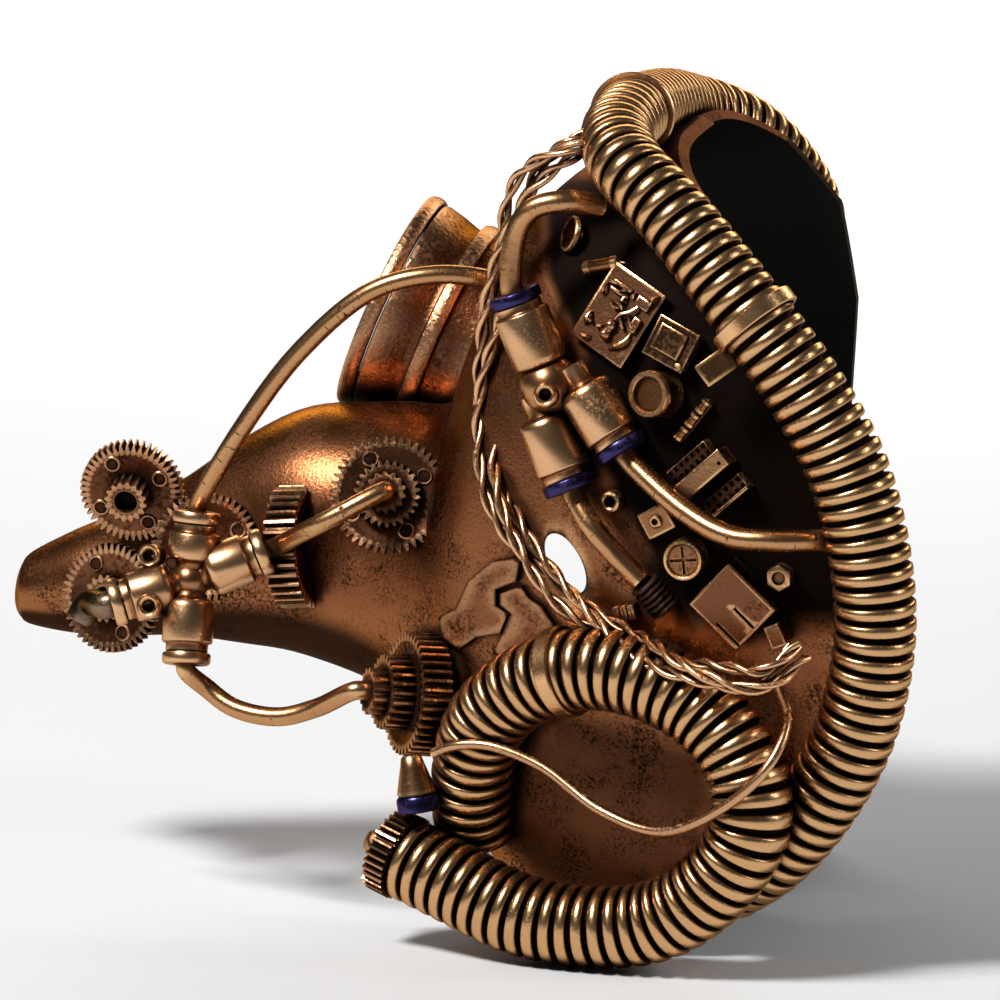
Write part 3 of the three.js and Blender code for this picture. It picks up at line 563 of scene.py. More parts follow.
eye_axis = heading(*EYE_AXIS)
cup_mesh = bmesh.new()
lathe(cup_mesh, CUP_PROFILE, place(sighted(*EYE_AT), eye_axis), CUP_SIDES, closed=True)
ring_mesh = bmesh.new()
ring_at = sighted(*EYE_AT) + eye_axis * RING_OUT * MM
lathe(ring_mesh, RING_PROFILE, place(ring_at, eye_axis), CUP_SIDES, closed=True)
cup = as_object("goggle_cup_turned", cup_mesh)
cut_away(cup, [face_form(-SUNK)])
finished(cup, ["goggle_cup"], [CUP_COPPER])
finished(as_object("goggle_ring_turned", ring_mesh), ["goggle_ring"], [CUP_COPPER])

# Pipe unions
# Push-in plastic pipe fittings, a cross on the nose and a Y on the temple, gilt over their moulded bodies.
# Each barrel springs from a narrow neck, with a groove and a lip at its mouth, and the bodies have eyelets.
COLLAR_LENGTH, GLUE, PIPE_PUSHED_IN, STRAIGHT_OUT = 3, 0.3, 1.6, 2.5
CROSS_AT, CROSS_CORE, CROSS_BARREL = (-68.5, 80, -46), 5, 6.4
Y_AT, Y_CORE, Y_BARREL = (21.5, 128.5, -68), 7.6, 7
CROSS_BARRELS = (
    ("top", CROSS_AT, (0.1, 1, 0.05), 14), ("right", CROSS_AT, (0.93, 0.36, 0.05), 17.5),
    ("left", CROSS_AT, (-0.95, -0.28, 0.02), 17.5), ("bottom", CROSS_AT, (-0.05, -1, 0.1), 18),
)
Y_BARRELS = (
    ("upper", (21, 129, -68), (-0.36, 0.93, 0.08), 21), ("right", (27, 132, -69), (0.53, -0.85, 0.1), 21),
    ("lower", (18, 125, -68), (0.36, -0.93, 0.02), 21),
)
CROSS_EYELETS = ((-79, 86, -50, 7), (-79, 73.5, -57.5, 8))
Y_EYELETS = ((20, 126, -78, 6),)
EYELET_FACES = (-0.2, 0, 1)
UNION_GILT = painted("union_gilt", (0.34, 0.142, 0.06), (0.9, 0.54, 0.28), grain=1100, cover=1.45,
                     relief=0.06)
COLLAR_BLUE = painted("collar_blue", (0.012, 0.014, 0.1), (0.16, 0.12, 0.24), (0.008, 0.008, 0.03), cover=1,
                      edge=0.22)
pipe_mouths = {}


def barrel_profile(radius, length):
    return (
        (0, -1), (3.9, -1), (3.9, 3.6), (4.2, 4.5), (radius - 1.2, 5), (radius - 0.35, 5.6), (radius, 7),
        (radius, length - 2.6), (radius - 0.2, length - 2.2), (radius - 0.9, length - 2),
        (radius - 1.1, length - 1.6), (radius - 1.1, length), (0, length),
    )


def collar_profile(radius):
    outer = radius - 0.3
    return (
        (0, 0), (outer - 0.9, 0), (outer - 0.2, 0.2), (outer, 0.6), (outer, 2.2), (outer - 0.3, 2.8),
        (outer - 0.8, COLLAR_LENGTH), (3.5, COLLAR_LENGTH), (3.1, 2.7), (2.9, 1.2), (0, 1.2),
    )


def pipe_union(name, core, core_radius, radius, barrels, eyelets, collar_coat):
    bm = bmesh.new()
    bmesh.ops.create_uvsphere(bm, u_segments=32, v_segments=20, radius=core_radius * MM,
                              matrix=place(sighted(*core), NEAR))
    for key, start, along, length in barrels:
        axis = heading(*along)
        lathe(bm, barrel_profile(radius, length), place(sighted(*start), axis))
        collar = bmesh.new()
        lathe(collar, collar_profile(radius), place(sighted(*start) + axis * (length + GLUE) * MM, axis))
        node = f"{name}_collar_{key}"
        finished(as_object(node + "_moulded", collar), [node], [collar_coat])
        mouth = sighted(*start) + axis * (length + 2 * GLUE + COLLAR_LENGTH - PIPE_PUSHED_IN) * MM
        pipe_mouths[f"{name}_{key}"] = [mouth, mouth + axis * STRAIGHT_OUT * MM]
    for u, v, y, length in eyelets:
        lip = ((1.4, -length), (3.1, -length), (3.1, -1.2), (2.9, -0.3), (2.3, 0.1), (1.7, -0.2), (1.4, -1))
        lathe(bm, lip, place(sighted(u, v, y), heading(*EYELET_FACES)), 32, closed=True)
    finished(as_object(name + "_moulded", bm), [name], [UNION_GILT], 50)


pipe_union("cross_union", CROSS_AT, CROSS_CORE, CROSS_BARREL, CROSS_BARRELS, CROSS_EYELETS, UNION_GILT)
pipe_union("y_union", Y_AT, Y_CORE, Y_BARREL, Y_BARRELS, Y_EYELETS, COLLAR_BLUE)

# Gear wheels
# Moulded spur wheels from clockwork toys, glued on in stacks with their pinions, painted like old copper.
# The flat wheels have four round dimples, and the small pinions a bore for the shaft that is gone.
GEARS = {
    # foot, axis, length of the stem behind it, then each disc's radius, teeth and thickness
    "bridge_gear": ((-18.5, 101, -39), (-0.12, 0.1, 1), 12, ((14.8, 44, 3), (8.4, 26, 3.2), (5.2, 14, 4))),
    "nose_gear_upper": ((-83, 103.5, -19), (-0.2, -0.4, 0.9), 4, ((13, 46, 4.5), (5.4, 16, 6))),
    "nose_gear_lower": ((-87.8, 75.5, -20), (-0.5, -0.05, 0.86), 10, ((13.8, 46, 3), (6, 16, 3))),
    "nose_gear_rear": ((-64.5, 88, -25), (-0.2, 0.1, 1), 10, ((13.8, 46, 3),)),
    "spur_gear": ((-45.6, 88.2, -26.5), (0.95, 0.03, 0.31), 0, ((15.4, 34, 8),)),
    "chin_gear": ((-8, 51.5, -50), (-0.94, 0.05, 0.34), 6, ((15.6, 40, 7.5), (9.4, 24, 6), (5.9, 14, 4))),
}
DISC_LAP, STEM_RADIUS, WEB_SUNK = 0.2, 4, 0.15
DRILLED, BORE_RADIUS, BORE_DEPTH = ("nose_gear_upper", "nose_gear_lower"), 3, 4
THIN_WHEEL, DIMPLES_AT, DIMPLE_TURN, DIMPLE_FLOOR, DIMPLE_DARK = 5, 0.68, 0.5, 1.58, 0.55
DIMPLE_PROFILE = ((0, 0.12), (1.5, 0.12), (1.6, 0.4), (1.9, 0.45), (2.2, 0.2), (2.2, -0.3))
SHAFT_END = 3
WHEEL_COPPER = painted("wheel_copper", (0.17, 0.066, 0.031), (0.66, 0.35, 0.18), grain=800, cover=0.85,
                       hollow=2)


def toothed_disc(bm, radius, teeth, thick, matrix, bore=0):
    before = set(bm.verts)
    depth = min(1.6, radius * 0.14)
    ring = bmesh.ops.create_circle(bm, cap_ends=True, radius=radius * MM, segments=teeth * 4)["verts"]
    for index, vert in enumerate(sorted(ring, key=lambda v: atan2(v.co.y, v.co.x))):
        if index % 4 in (0, 3):
            vert.co.xy *= (radius - depth) / radius
    top = bmesh.ops.extrude_face_region(bm, geom=faces_on(ring))["geom"]
    bmesh.ops.translate(bm, vec=(0, 0, thick * MM), verts=of_kind(bmesh.types.BMVert, top))
    bmesh.ops.recalc_face_normals(bm, faces=faces_on(added(bm, before)))
    web = of_kind(bmesh.types.BMFace, top)
    steps = [(radius - depth - 0.9, 0), (radius - depth - 1.3, -WEB_SUNK)]
    steps += [(bore, 0), (bore, -BORE_DEPTH)] if bore else []
    for reach, drop in steps:
        bmesh.ops.inset_region(bm, faces=web, thickness=0.01 * MM, use_even_offset=False)
        for vert in web[0].verts:
            vert.co.xy = vert.co.xy.normalized() * reach * MM
            vert.co.z += drop * MM
    bmesh.ops.transform(bm, matrix=matrix, verts=added(bm, before))


def dimples(bm, black_and_shade, matrix, reach, level):
    """Four round dimples on the face of a wheel, each with a raised rim and a dark floor."""
    for quarter in range(4):
        angle = quarter * tau / 4 + DIMPLE_TURN
        spot = matrix @ Matrix.Translation(Vector((reach * cos(angle), reach * sin(angle), level)) * MM)
        flat = spot.inverted()
        for vert in lathe(bm, DIMPLE_PROFILE, spot, 24):
            if (flat @ vert.co).xy.length < DIMPLE_FLOOR * MM:
                vert[black_and_shade] = DIMPLE_DARK


gear_fronts = {}
for name, (at, along, stem, discs) in GEARS.items():
    axis = heading(*along)
    foot = sighted(*at)
    wheel = bmesh.new()
    black_and_shade = wheel.verts.layers.float.new("black_and_shade")
    if stem:
        post = ((0, -stem), (STEM_RADIUS, -stem), (STEM_RADIUS, DISC_LAP), (0, DISC_LAP))
        lathe(wheel, post, place(foot, axis), 24)
    height = 0
    for order, (radius, teeth, thick) in enumerate(discs):
        bore = BORE_RADIUS if order and name in DRILLED else 0
        toothed_disc(wheel, radius, teeth, thick, place(foot + axis * height * MM, axis), bore)
        height += thick - DISC_LAP
    wheel_radius, _, wheel_thick = discs[0]
    if wheel_thick < THIN_WHEEL:
        dimples(wheel, black_and_shade, place(foot, axis), wheel_radius * DIMPLES_AT, wheel_thick - WEB_SUNK)
    front = foot + axis * (height + DISC_LAP) * MM
    gear_fronts[name] = [front + axis * SHAFT_END * MM, front]
    toothed = as_object(name + "_toothed", wheel)
    stopped_in_wall(toothed)
    finished(toothed, [name], [WHEEL_COPPER])

# Bent pipes
# Lengths of soft plastic pipe pushed into the unions, gilt, with fine dark cracks across the bends.
# Each runs from its mouth to a gear, to the shell or under a hose.
NOSE_PIPE, TEMPLE_PIPE, PIPE_SIDES, PIPE_STEP = 2.4, 2.8, 20, 0.6
PIPES = {
    # mouth, radius, route, gear at its end
    "brow_pipe": ("cross_union_top", NOSE_PIPE, (
        (-56, 117, -49), (-41, 137, -50), (-23, 152, -50), (-8, 156, -48), (6, 155, -43), (13, 152, -37),
    ), None),
    "gear_pipe": ("cross_union_right", NOSE_PIPE, ((-36, 94, -56),), "bridge_gear"),
    "chin_pipe": ("cross_union_bottom", NOSE_PIPE, (
        (-64.5, 53, -50.5), (-57.5, 48, -52), (-46.5, 45.8, -54), (-37, 48, -55),
    ), "chin_gear"),
    "temple_pipe": ("y_union_upper", TEMPLE_PIPE, (
        (13, 166, -67), (17, 172, -68), (25, 174, -67), (34, 173, -60),
    ), None),
    "ear_pipe": ("y_union_right", TEMPLE_PIPE, (
        (55, 97, -80), (66, 91, -84), (76, 90, -84), (86, 90, -80), (94, 90, -73),
    ), None),
    "cheek_pipe": ("y_union_lower", TEMPLE_PIPE, ((32, 93, -74), (38, 86, -74), (44, 80, -74)), None),
}
CRACK_CHANCE, CRACK_DARK = 0.12, (0.2, 0.7)
STUB_ROUTE, STUB_RADIUS, STUB_SIDES = ((-94, 74, -45.5), (-96.5, 70.5, -45)), 3.4, 24
PIPE_GILT = painted("pipe_gilt", (0.42, 0.19, 0.078), (0.9, 0.56, 0.27), grain=1100, cover=1.5, hollow=1.3)
STUB_GREY = painted("stub_grey", (0.075, 0.05, 0.034), (0.3, 0.2, 0.13), grain=1100, cover=0.9)


def bent_pipe(bm, points, radius, sides, spacing=1.2):
    rings = [bmesh.ops.create_circle(bm, radius=radius * MM, segments=sides, matrix=at)["verts"]
             for at in stations(points, spacing)]
    loft(bm, rings)
    return rings


def cracked(rings, black_and_shade, chance):
    """Dark rings here and there where the paint has split."""
    for ring in rings:
        if chance.random() < CRACK_CHANCE:
            for vert in ring:
                vert[black_and_shade] = chance.uniform(*CRACK_DARK)


split = Random(7)
for name, (mouth, radius, route, gear) in PIPES.items():
    pipe = bmesh.new()
    black_and_shade = pipe.verts.layers.float.new("black_and_shade")
    end = gear_fronts[gear] if gear else []
    line = [*pipe_mouths[mouth], *(sighted(*row) for row in route), *end]
    cracked(bent_pipe(pipe, line, radius, PIPE_SIDES, PIPE_STEP), black_and_shade, split)
    bent = as_object(name + "_bent", pipe)
    stopped_in_wall(bent)
    finished(bent, [name], [PIPE_GILT])

stub = bmesh.new()
stub_line = [*pipe_mouths["cross_union_left"], *(sighted(*row) for row in STUB_ROUTE)]
bent_pipe(stub, stub_line, STUB_RADIUS, STUB_SIDES)
finished(as_object("cross_stub_bent", stub), [], [STUB_GREY])

# Tape wrap
# Six turns of dark cloth tape round the end of the pipe on the cheek.
# The tape is wound on tight and left nearly black.
WRAP_AT, WRAP_ALONG, WRAP_LENGTH, WRAP_TURNS, WRAP_END = (44.5, 79.5, -74), (0.6, -0.7, -0.2), 9, 6, 2.2
TURN_PROFILE = ((3.5, 0.1), (4, 0.5), (4, 1), (3.5, 1.4))
DARK_TAPE = painted("dark_tape", (0.03, 0.017, 0.012), (0.16, 0.09, 0.06), grain=500, cover=0.4, edge=0.3)
wrap = bmesh.new()
pitch = WRAP_LENGTH / WRAP_TURNS
turns = [(radius, turn * pitch + along) for turn in range(WRAP_TURNS) for radius, along in TURN_PROFILE]
wrap_place = place(sighted(*WRAP_AT), heading(*WRAP_ALONG))
lathe(wrap, ((WRAP_END, 0), *turns, (WRAP_END, WRAP_LENGTH)), wrap_place, 32)
finished(as_object("cheek_pipe_taped", wrap), ["cheek_pipe_wrap"], [DARK_TAPE])

# Loop pipe
# A thin copper pipe, bent by hand from the chin over the hose loop to the ear.
# It is the same tarnished copper as the wires.
LOOP_PIPE_ROUTE = (
    (-7.5, 37, -76), (-2, 39, -79), (6, 39, -80), (19, 34, -82), (34, 23, -88), (49, 18, -95),
    (64, 24, -101), (75, 34, -101), (80, 45, -93), (78, 53, -84),
)
LOOP_PIPE, LOOP_PIPE_SIDES = 1.3, 14
thin_pipe = bmesh.new()
bent_pipe(thin_pipe, [sighted(*row) for row in LOOP_PIPE_ROUTE], LOOP_PIPE, LOOP_PIPE_SIDES)
finished(as_object("loop_pipe_bent", thin_pipe), ["loop_pipe"], [WIRE_COPPER])

# Wire bundle
# Three twisted pairs of enamelled wire, laid loosely round each other from the brow to the ear.
# They are painted copper with the rest and end under the rim hose.
BUNDLE_ROUTE = (
    (33, 188, -52), (27, 187, -55), (15.5, 178, -52), (8, 150, -51), (5, 120, -53), (10, 97, -64),
    (24, 78, -71), (39, 66, -79), (59, 57, -99), (74, 55, -100), (83, 63, -92),
)
PAIRS, STRAND_RADIUS, STRAND_SIDES, STRAND_STEP = 3, 0.85, 8, 1.4
PAIR_GAP, BUNDLE_GAP, PAIR_TWIST, BUNDLE_TWIST, LAY_STEP = 0.9, 2.6, 19, 110, 2
LOOSENESS, LOOSE_PACE, PAIR_OFFSET = 0.25, 0.21, 0.2
bundle = bmesh.new()
bundle_line = stations([sighted(*row) for row in BUNDLE_ROUTE], LAY_STEP)
for strand in range(2 * PAIRS):
    pair, side = divmod(strand, 2)
    lay = []
    for step, at in enumerate(bundle_line):
        swing = tau * (pair / PAIRS + step * LAY_STEP / BUNDLE_TWIST)
        twist = tau * (side / 2 + pair * PAIR_OFFSET + step * LAY_STEP / PAIR_TWIST)
        reach = BUNDLE_GAP * (1 + LOOSENESS * sin(step * LOOSE_PACE + pair * 2))
        pair_at = Vector((cos(swing), sin(swing), 0)) * reach
        strand_at = pair_at + Vector((cos(twist), sin(twist), 0)) * PAIR_GAP
        lay.append(at @ (strand_at * MM))
    bent_pipe(bundle, lay, STRAND_RADIUS, STRAND_SIDES, STRAND_STEP)
twisted = as_object("wire_bundle_twisted", bundle)
stopped_in_wall(twisted)
finished(twisted, ["wire_bundle"], [WIRE_COPPER], 70)

# Hose end
# A toothed cap with a ball in its middle closes the loop hose, and a cone on a blue collar stands over it.
# Both are turned plastic, glued on and painted.
CAP_RADIUS, CAP_TEETH, CAP_THICK = 11, 34, 6
BALL_PROFILE = (
    (0, 5.8), (6.6, 5.8), (6.6, 6.4), (5.6, 6.8), (3, 6.6), (3.6, 7.2), (4, 8.4), (3.7, 10), (2.6, 11.6),
    (1.2, 12.3), (0, 12.5),
)
CONE_AT, CONE_ALONG, CONE_COLLAR_LENGTH = (-11, 22.5, -74), (-0.15, 0.95, 0.1), 4
CONE_COLLAR_PROFILE = (
    (0, 0), (5, 0), (5.4, 0.4), (5.4, 3.4), (5, CONE_COLLAR_LENGTH), (0, CONE_COLLAR_LENGTH),
)
CONE_PROFILE = ((0, 0), (4.6, 0), (5, 0.5), (4.7, 1.6), (3.2, 7), (2.6, 9.4), (2, 10), (0, 10))
hose_out = -(loop_line[0].to_3x3() @ Vector((0, 0, 1)))
cap_place = place(loop_line[0].translation + hose_out * GLUE * MM, hose_out)
cap = bmesh.new()
toothed_disc(cap, CAP_RADIUS, CAP_TEETH, CAP_THICK, cap_place)
lathe(cap, BALL_PROFILE, cap_place, 40)
finished(as_object("hose_cap_toothed", cap), ["hose_cap_gear"], [WHEEL_COPPER])
cone_axis = heading(*CONE_ALONG)
cone_collar = bmesh.new()
lathe(cone_collar, CONE_COLLAR_PROFILE, place(sighted(*CONE_AT), cone_axis))
finished(as_object("cone_collar_turned", cone_collar), ["cone_collar"], [COLLAR_BLUE])
cone = bmesh.new()
cone_foot = sighted(*CONE_AT) + cone_axis * (CONE_COLLAR_LENGTH + GLUE) * MM
lathe(cone, CONE_PROFILE, place(cone_foot, cone_axis))
finished(as_object("cone_fitting_turned", cone), ["cone_fitting"], [UNION_GILT])

# Patch plates
# Two ragged scraps of thin sheet, stuck side by side under the nose and painted with the shell.
# They follow the shell, a little proud of it, and their torn edges stay dark.
PATCHES = {
    "patch_plate_front": (
        (-5, 71), (-1, 73), (2, 80), (8, 85), (15, 86), (14, 80), (9, 78), (9, 74), (12, 72), (10, 67),
        (4, 66), (0, 63), (-4, 66),
    ),
    "patch_plate_rear": (
        (10.6, 67), (12.6, 72), (10, 74.2), (10, 77), (15, 79), (17, 76), (20, 74), (24, 68), (22, 62),
        (14, 60), (8, 62),
    ),
}
PATCH_PROUD, PATCH_THICK, TORN_DARK, FROM_FAR = 0.5, 1.4, 0.6, 300
PATCH_COPPER = painted("patch_copper", (0.25, 0.094, 0.04), (0.72, 0.4, 0.2), grain=900, cover=0.95,
                       edge=0.35, relief=0.3)


def seat(u, v):
    hit, normal, _, _ = shell_skin.ray_cast(sighted(u, v, 0) + NEAR * FROM_FAR * MM, -NEAR)
    return hit, normal


for name, outline in PATCHES.items():
    scrap = bmesh.new()
    black_and_shade = scrap.verts.layers.float.new("black_and_shade")
    face = scrap.faces.new([scrap.verts.new((u, v, 0)) for u, v in outline])
    bmesh.ops.triangulate(scrap, faces=[face])
    bmesh.ops.subdivide_edges(scrap, edges=scrap.edges, cuts=3, use_grid_fill=True)
    for vert in scrap.verts:
        hit, normal = seat(vert.co.x, vert.co.y)
        vert.co = hit + normal * PATCH_PROUD * MM
        vert[black_and_shade] = TORN_DARK if vert.is_boundary else 0
    bmesh.ops.recalc_face_normals(scrap, faces=scrap.faces)
    if sum(face.normal.dot(NEAR) for face in scrap.faces) < 0:
        bmesh.ops.reverse_faces(scrap, faces=scrap.faces)
    bmesh.ops.solidify(scrap, geom=scrap.faces, thickness=-PATCH_THICK * MM)
    bmesh.ops.recalc_face_normals(scrap, faces=scrap.faces)
    finished(as_object(name + "_torn", scrap), [name], [PATCH_COPPER])

# Board and relay
# A scrap of circuit board with its small parts, a lidded relay beside it, and a contact and a fuse above.
# They are old electronics glued to the temple, painted dark and rubbed with copper on the edges.
PARTS_BROWN = painted("parts_brown", (0.2, 0.08, 0.036), (0.7, 0.38, 0.19), grain=1100, cover=1.3, edge=1)
PARTS_DARK = painted("parts_dark", (0.085, 0.033, 0.016), (0.66, 0.36, 0.16), grain=900, cover=0.8, edge=0.7,
                     hollow=2)
PARTS_GILT = painted("parts_gilt", (0.3, 0.13, 0.055), (0.86, 0.5, 0.24), grain=1100, cover=1.35,
                     hollow=1.8)
BOARD_BOXES = (
    # size, middle, edge: the board, the block under it and two chips on it
    ((17, 21.5, 1.4), (-2, 0, 2.6), 0.5), ((9, 14, 2.4), (0, 0, 0.8), 0.3),
    ((4.2, 2.6, 1.6), (2.6, 6, 3.8), 0.3), ((2.2, 3.8, 1.8), (3.8, 0.4, 3.9), 0.3),
)
BOARD_PIN, BOARD_PINS = ((0, 0), (0.7, 0), (0.7, 5), (0.45, 5.4), (0, 5.4)), ((-7.2, 6.8), (-7.2, 4.8))
DROP_RADIUS, DROPS = 1.5, ((-1.6, -5.6, 4.3), (-1.6, -3, 4.3))
DROP_STEM = ((0, 0), (1.1, 0), (1.1, 2.6), (0, 2.6))
BOARD_LEADS = (
    ((-1.6, -1.8, 4.2), (-1, 0.4, 5), (1, 2.4, 5), (2, 4.6, 4.4)),
    ((-4.4, 1.6, 3.2), (-3.4, 2.6, 5.2), (-1.6, 2.4, 5.4), (-0.6, 0.8, 3.4)),
    ((3.8, -1.4, 3.4), (4, -4, 4.6), (2.4, -6.6, 4.6), (1, -8.4, 3.4)),
)
LOOSE_LEADS, LOOSE_X, LOOSE_Y, LOOSE_REACH = 16, (-9.4, 5), (-9.6, 9.6), (1.2, 3.4)
LEAD_RADIUS, LEAD_SIDES, LEAD_STEP = 0.4, 8, 0.8
RELAY_BOXES = (
    ((11, 10, 4), (0, 0, 2), 0.5), ((11.8, 10.8, 1), (0, 0, 4.6), 0.3), ((8, 7, 0.9), (-0.4, 0.4, 5.4), 0.4),
)
RELAY_PIN = ((0, 5), (1, 5), (1, 6.2), (0.6, 6.4), (0, 6.4))
CONTACT_PROFILE = (
    (0, -2.4), (1.6, -2.4), (1.6, -0.5), (4.3, -0.5), (4.6, -0.2), (4.6, 0.6), (4.3, 0.9), (3.9, 0.9),
    (3.7, 0.6), (0, 0.6),
)
FUSE_PROFILE = (
    (0, -4.8), (1.6, -4.8), (1.9, -4.5), (1.9, -3), (1.65, -2.7), (1.65, 2.7), (1.9, 3), (1.9, 4.5),
    (1.6, 4.8), (0, 4.8),
)


def seated(u, v, spin=0):
    """The place on the shell at u, v that faces out of it, turned by spin."""
    point, normal = seat(u, v)
    across = (RIGHT - normal * RIGHT.dot(normal)).normalized()
    turned = Matrix((across, normal.cross(across), normal)).transposed().to_4x4()
    return Matrix.Translation(point) @ turned @ Matrix.Rotation(spin, 4, "Z")


def shifted(base, x, y, z, turn="Z", angle=0):
    return base @ Matrix.Translation(Vector((x, y, z)) * MM) @ Matrix.Rotation(angle, 4, turn)


def lead(bm, base, *points):
    line = [base @ (Vector(point) * MM) for point in points]
    bent_pipe(bm, line, LEAD_RADIUS, LEAD_SIDES, LEAD_STEP)


def boxes(bm, base, rows):
    for size, middle, edge in rows:
        bevelled_box(bm, size, shifted(base, *middle), edge)


def temple_part(name, bm, material):
    part = as_object(name + "_glued", bm)
    stopped_in_wall(part)
    finished(part, [name], [material])


board_place = seated(41, 144.5, -0.62)
board = bmesh.new()
boxes(board, board_place, BOARD_BOXES)
for x, y in BOARD_PINS:
    lathe(board, BOARD_PIN, shifted(board_place, x, y, 3.8, "Y", tau / 4), 16)
for spot in DROPS:
    bmesh.ops.create_uvsphere(board, u_segments=20, v_segments=12, radius=DROP_RADIUS * MM,
                              matrix=shifted(board_place, *spot))
lathe(board, DROP_STEM, shifted(board_place, *DROPS[0], "X", -tau / 4), 16)
for points in BOARD_LEADS:
    lead(board, board_place, *points)
litter = Random(11)
for _ in range(LOOSE_LEADS):
    x, y = litter.uniform(*LOOSE_X), litter.uniform(*LOOSE_Y)
    reach, turn = litter.uniform(*LOOSE_REACH), litter.uniform(0, tau)
    end = (x + reach * cos(turn), y + reach * sin(turn), 3.4)
    lead(board, board_place, (x, y, 3), (x, y, 4.4), ((x + end[0]) / 2, (y + end[1]) / 2, 5), end)
temple_part("circuit_board", board, PARTS_BROWN)

relay_place = seated(53, 138.5, -0.5)
relay = bmesh.new()
boxes(relay, relay_place, RELAY_BOXES)
lathe(relay, RELAY_PIN, shifted(relay_place, 4.6, -4.2, -0.4), 16)
temple_part("relay_plate", relay, PARTS_DARK)

contact = bmesh.new()
contact_place = shifted(seated(28, 165), 0, 0, 2.2, "Y", -0.5)
lathe(contact, CONTACT_PROFILE, contact_place, 40)
temple_part("temple_disc", contact, PARTS_DARK)

fuse = bmesh.new()
fuse_place = shifted(seated(35.6, 157.4), 0, 0, 3, "Y", tau / 4)
lathe(fuse, FUSE_PROFILE, fuse_place, 28)
lead(fuse, fuse_place, (0, 0, -4.4), (0, 0, -5.4), (1.4, 0, -6), (2.8, 0, -6))
lead(fuse, fuse_place, (0, 0, 4.4), (0, 0, 5.2), (1.4, 0, 5.8), (2.8, 0, 5.8))
temple_part("temple_cylinder", fuse, PARTS_GILT)

# Cans and rings
# A lidded metal can, a screw cap with a cross slot, a small ring and a nut, glued on with their faces out.
# All are turned or pressed metal, painted copper, with dark faces where the paint did not reach and painted
# shade in their hollows.
CAN_PROFILE = (
    (0, 0), (5.5, 0), (5.8, 0.4), (5.8, 5.6), (6, 6), (6, 7.4), (5.6, 8), (4.6, 8), (4.3, 7.7), (4.2, 6.4),
    (0, 6.4),
)
SCREW_PROFILE = (
    (0, 0), (4.9, 0), (5.2, 0.4), (5.2, 5.3), (4.9, 5.9), (4.3, 6), (4, 5.8), (3.8, 5.3), (3.6, 5.3),
    (2.8, 5.3), (1.9, 5.3), (1, 5.3), (0, 5.3),
)
SCREW_TURN, SCREW_SLOT, SLOT_LEVEL, SLOT_EDGE = 0.1, (7, 0.8, 1.6), 5.4, 0.1
SMALL_RING_PROFILE = (
    (1.3, 0), (2.6, 0), (2.8, 0.4), (2.8, 3), (2.5, 3.8), (1.9, 4), (1.5, 3.7), (1.3, 3),
)
NUT_RADIUS, NUT_HEIGHT, NUT_EDGE, NUT_BORE, NUT_DRILL = 3.4, 5, 0.3, 1.7, 2
can = bmesh.new()
lathe(can, CAN_PROFILE, shifted(seated(50, 126.4), 0, 0, 0, "Y", -0.25), 56)
temple_part("round_can", can, PARTS_GILT)

cap_screw = bmesh.new()
screw_place = seated(56, 86)
lathe(cap_screw, SCREW_PROFILE, screw_place)
screw = as_object("screw_cap_glued", cap_screw)
for turn in (SCREW_TURN, SCREW_TURN + tau / 4):
    slot_cut = bmesh.new()
    bevelled_box(slot_cut, SCREW_SLOT, shifted(screw_place, 0, 0, SLOT_LEVEL, "Z", turn), SLOT_EDGE)
    cut_away(screw, [slot_cut])
finished(screw, ["screw_cap"], [PARTS_GILT])

small_ring = bmesh.new()
lathe(small_ring, SMALL_RING_PROFILE, seated(37.5, 100), 32, closed=True)
temple_part("small_ring", small_ring, PARTS_GILT)

nut = bmesh.new()
nut_place = seated(79, 81.5)
blank = bmesh.ops.create_cone(nut, cap_ends=True, segments=6, radius1=NUT_RADIUS * MM,
                              radius2=NUT_RADIUS * MM, depth=NUT_HEIGHT * MM)["verts"]
rounded(nut, edges_on(blank), NUT_EDGE)
bmesh.ops.transform(nut, matrix=shifted(nut_place, 0, 0, NUT_HEIGHT / 2), verts=nut.verts)
hex_nut = as_object("hex_nut_glued", nut)
nut_axis = nut_place.to_3x3() @ Vector((0, 0, 1))
nut_top = nut_place @ Vector((0, 0, NUT_HEIGHT * MM))
cut_away(hex_nut, [peg(nut_top, nut_axis, (NUT_BORE, NUT_BORE), NUT_DRILL)])
finished(hex_nut, ["hex_nut"], [PARTS_GILT])

# Plates and blocks
# Two connector blocks, a slotted box, a row of resistors, a small plate, a clip and a finned block.
# They are moulded plastic or bent strip, glued round the ear and painted dark with gilt edges.
SOCKET_ROWS, SOCKET_RIM, SOCKET_WALL, SOCKET_EDGE, SQUARE_EDGE = (7, 2), 0.5, 0.05, 0.25, 1.2
UPPER_SOCKETS, UPPER_PIT, UPPER_BAR, UPPER_BAR_EDGE = (13, 4.2, 5.4), 2, (16, 4.8, 7.6), 0.35
BAR_HOLE_AT, BAR_HOLE, BAR_HOLE_CUT = (6, -2.6, 7.6), 0.5, 4
LOWER_SOCKETS, LOWER_PIT, LOWER_BAR, LOWER_BAR_EDGE = (14, 4.4, 4.6), 1.8, (14, 0.9, 5.8), 0.25
BOX_SIZE, BOX_EDGE, BOX_EDGE_STEPS, BOX_SIDE_CUTS, BOX_SIDE_AREA = (16.6, 15, 8), 0.5, 3, 9, 80
BOX_SLITS, BOX_SLIT_WIDTH, BOX_SLIT_DEEP, BOX_SLIT_RIGHT = ((0.2, 7), (-5.8, 8)), 0.8, 2, 4
RESISTOR_PROFILE = (
    (0, -2), (0.9, -2), (1.4, -1.7), (1.4, -1), (1.15, -0.7), (1.15, 0.7), (1.4, 1), (1.4, 1.7), (0.9, 2),
    (0, 2),
)
EYE_PROFILE = ((0.7, 2), (1.6, 2), (1.6, 2.7), (1.3, 3), (0.9, 3), (0.7, 2.6))
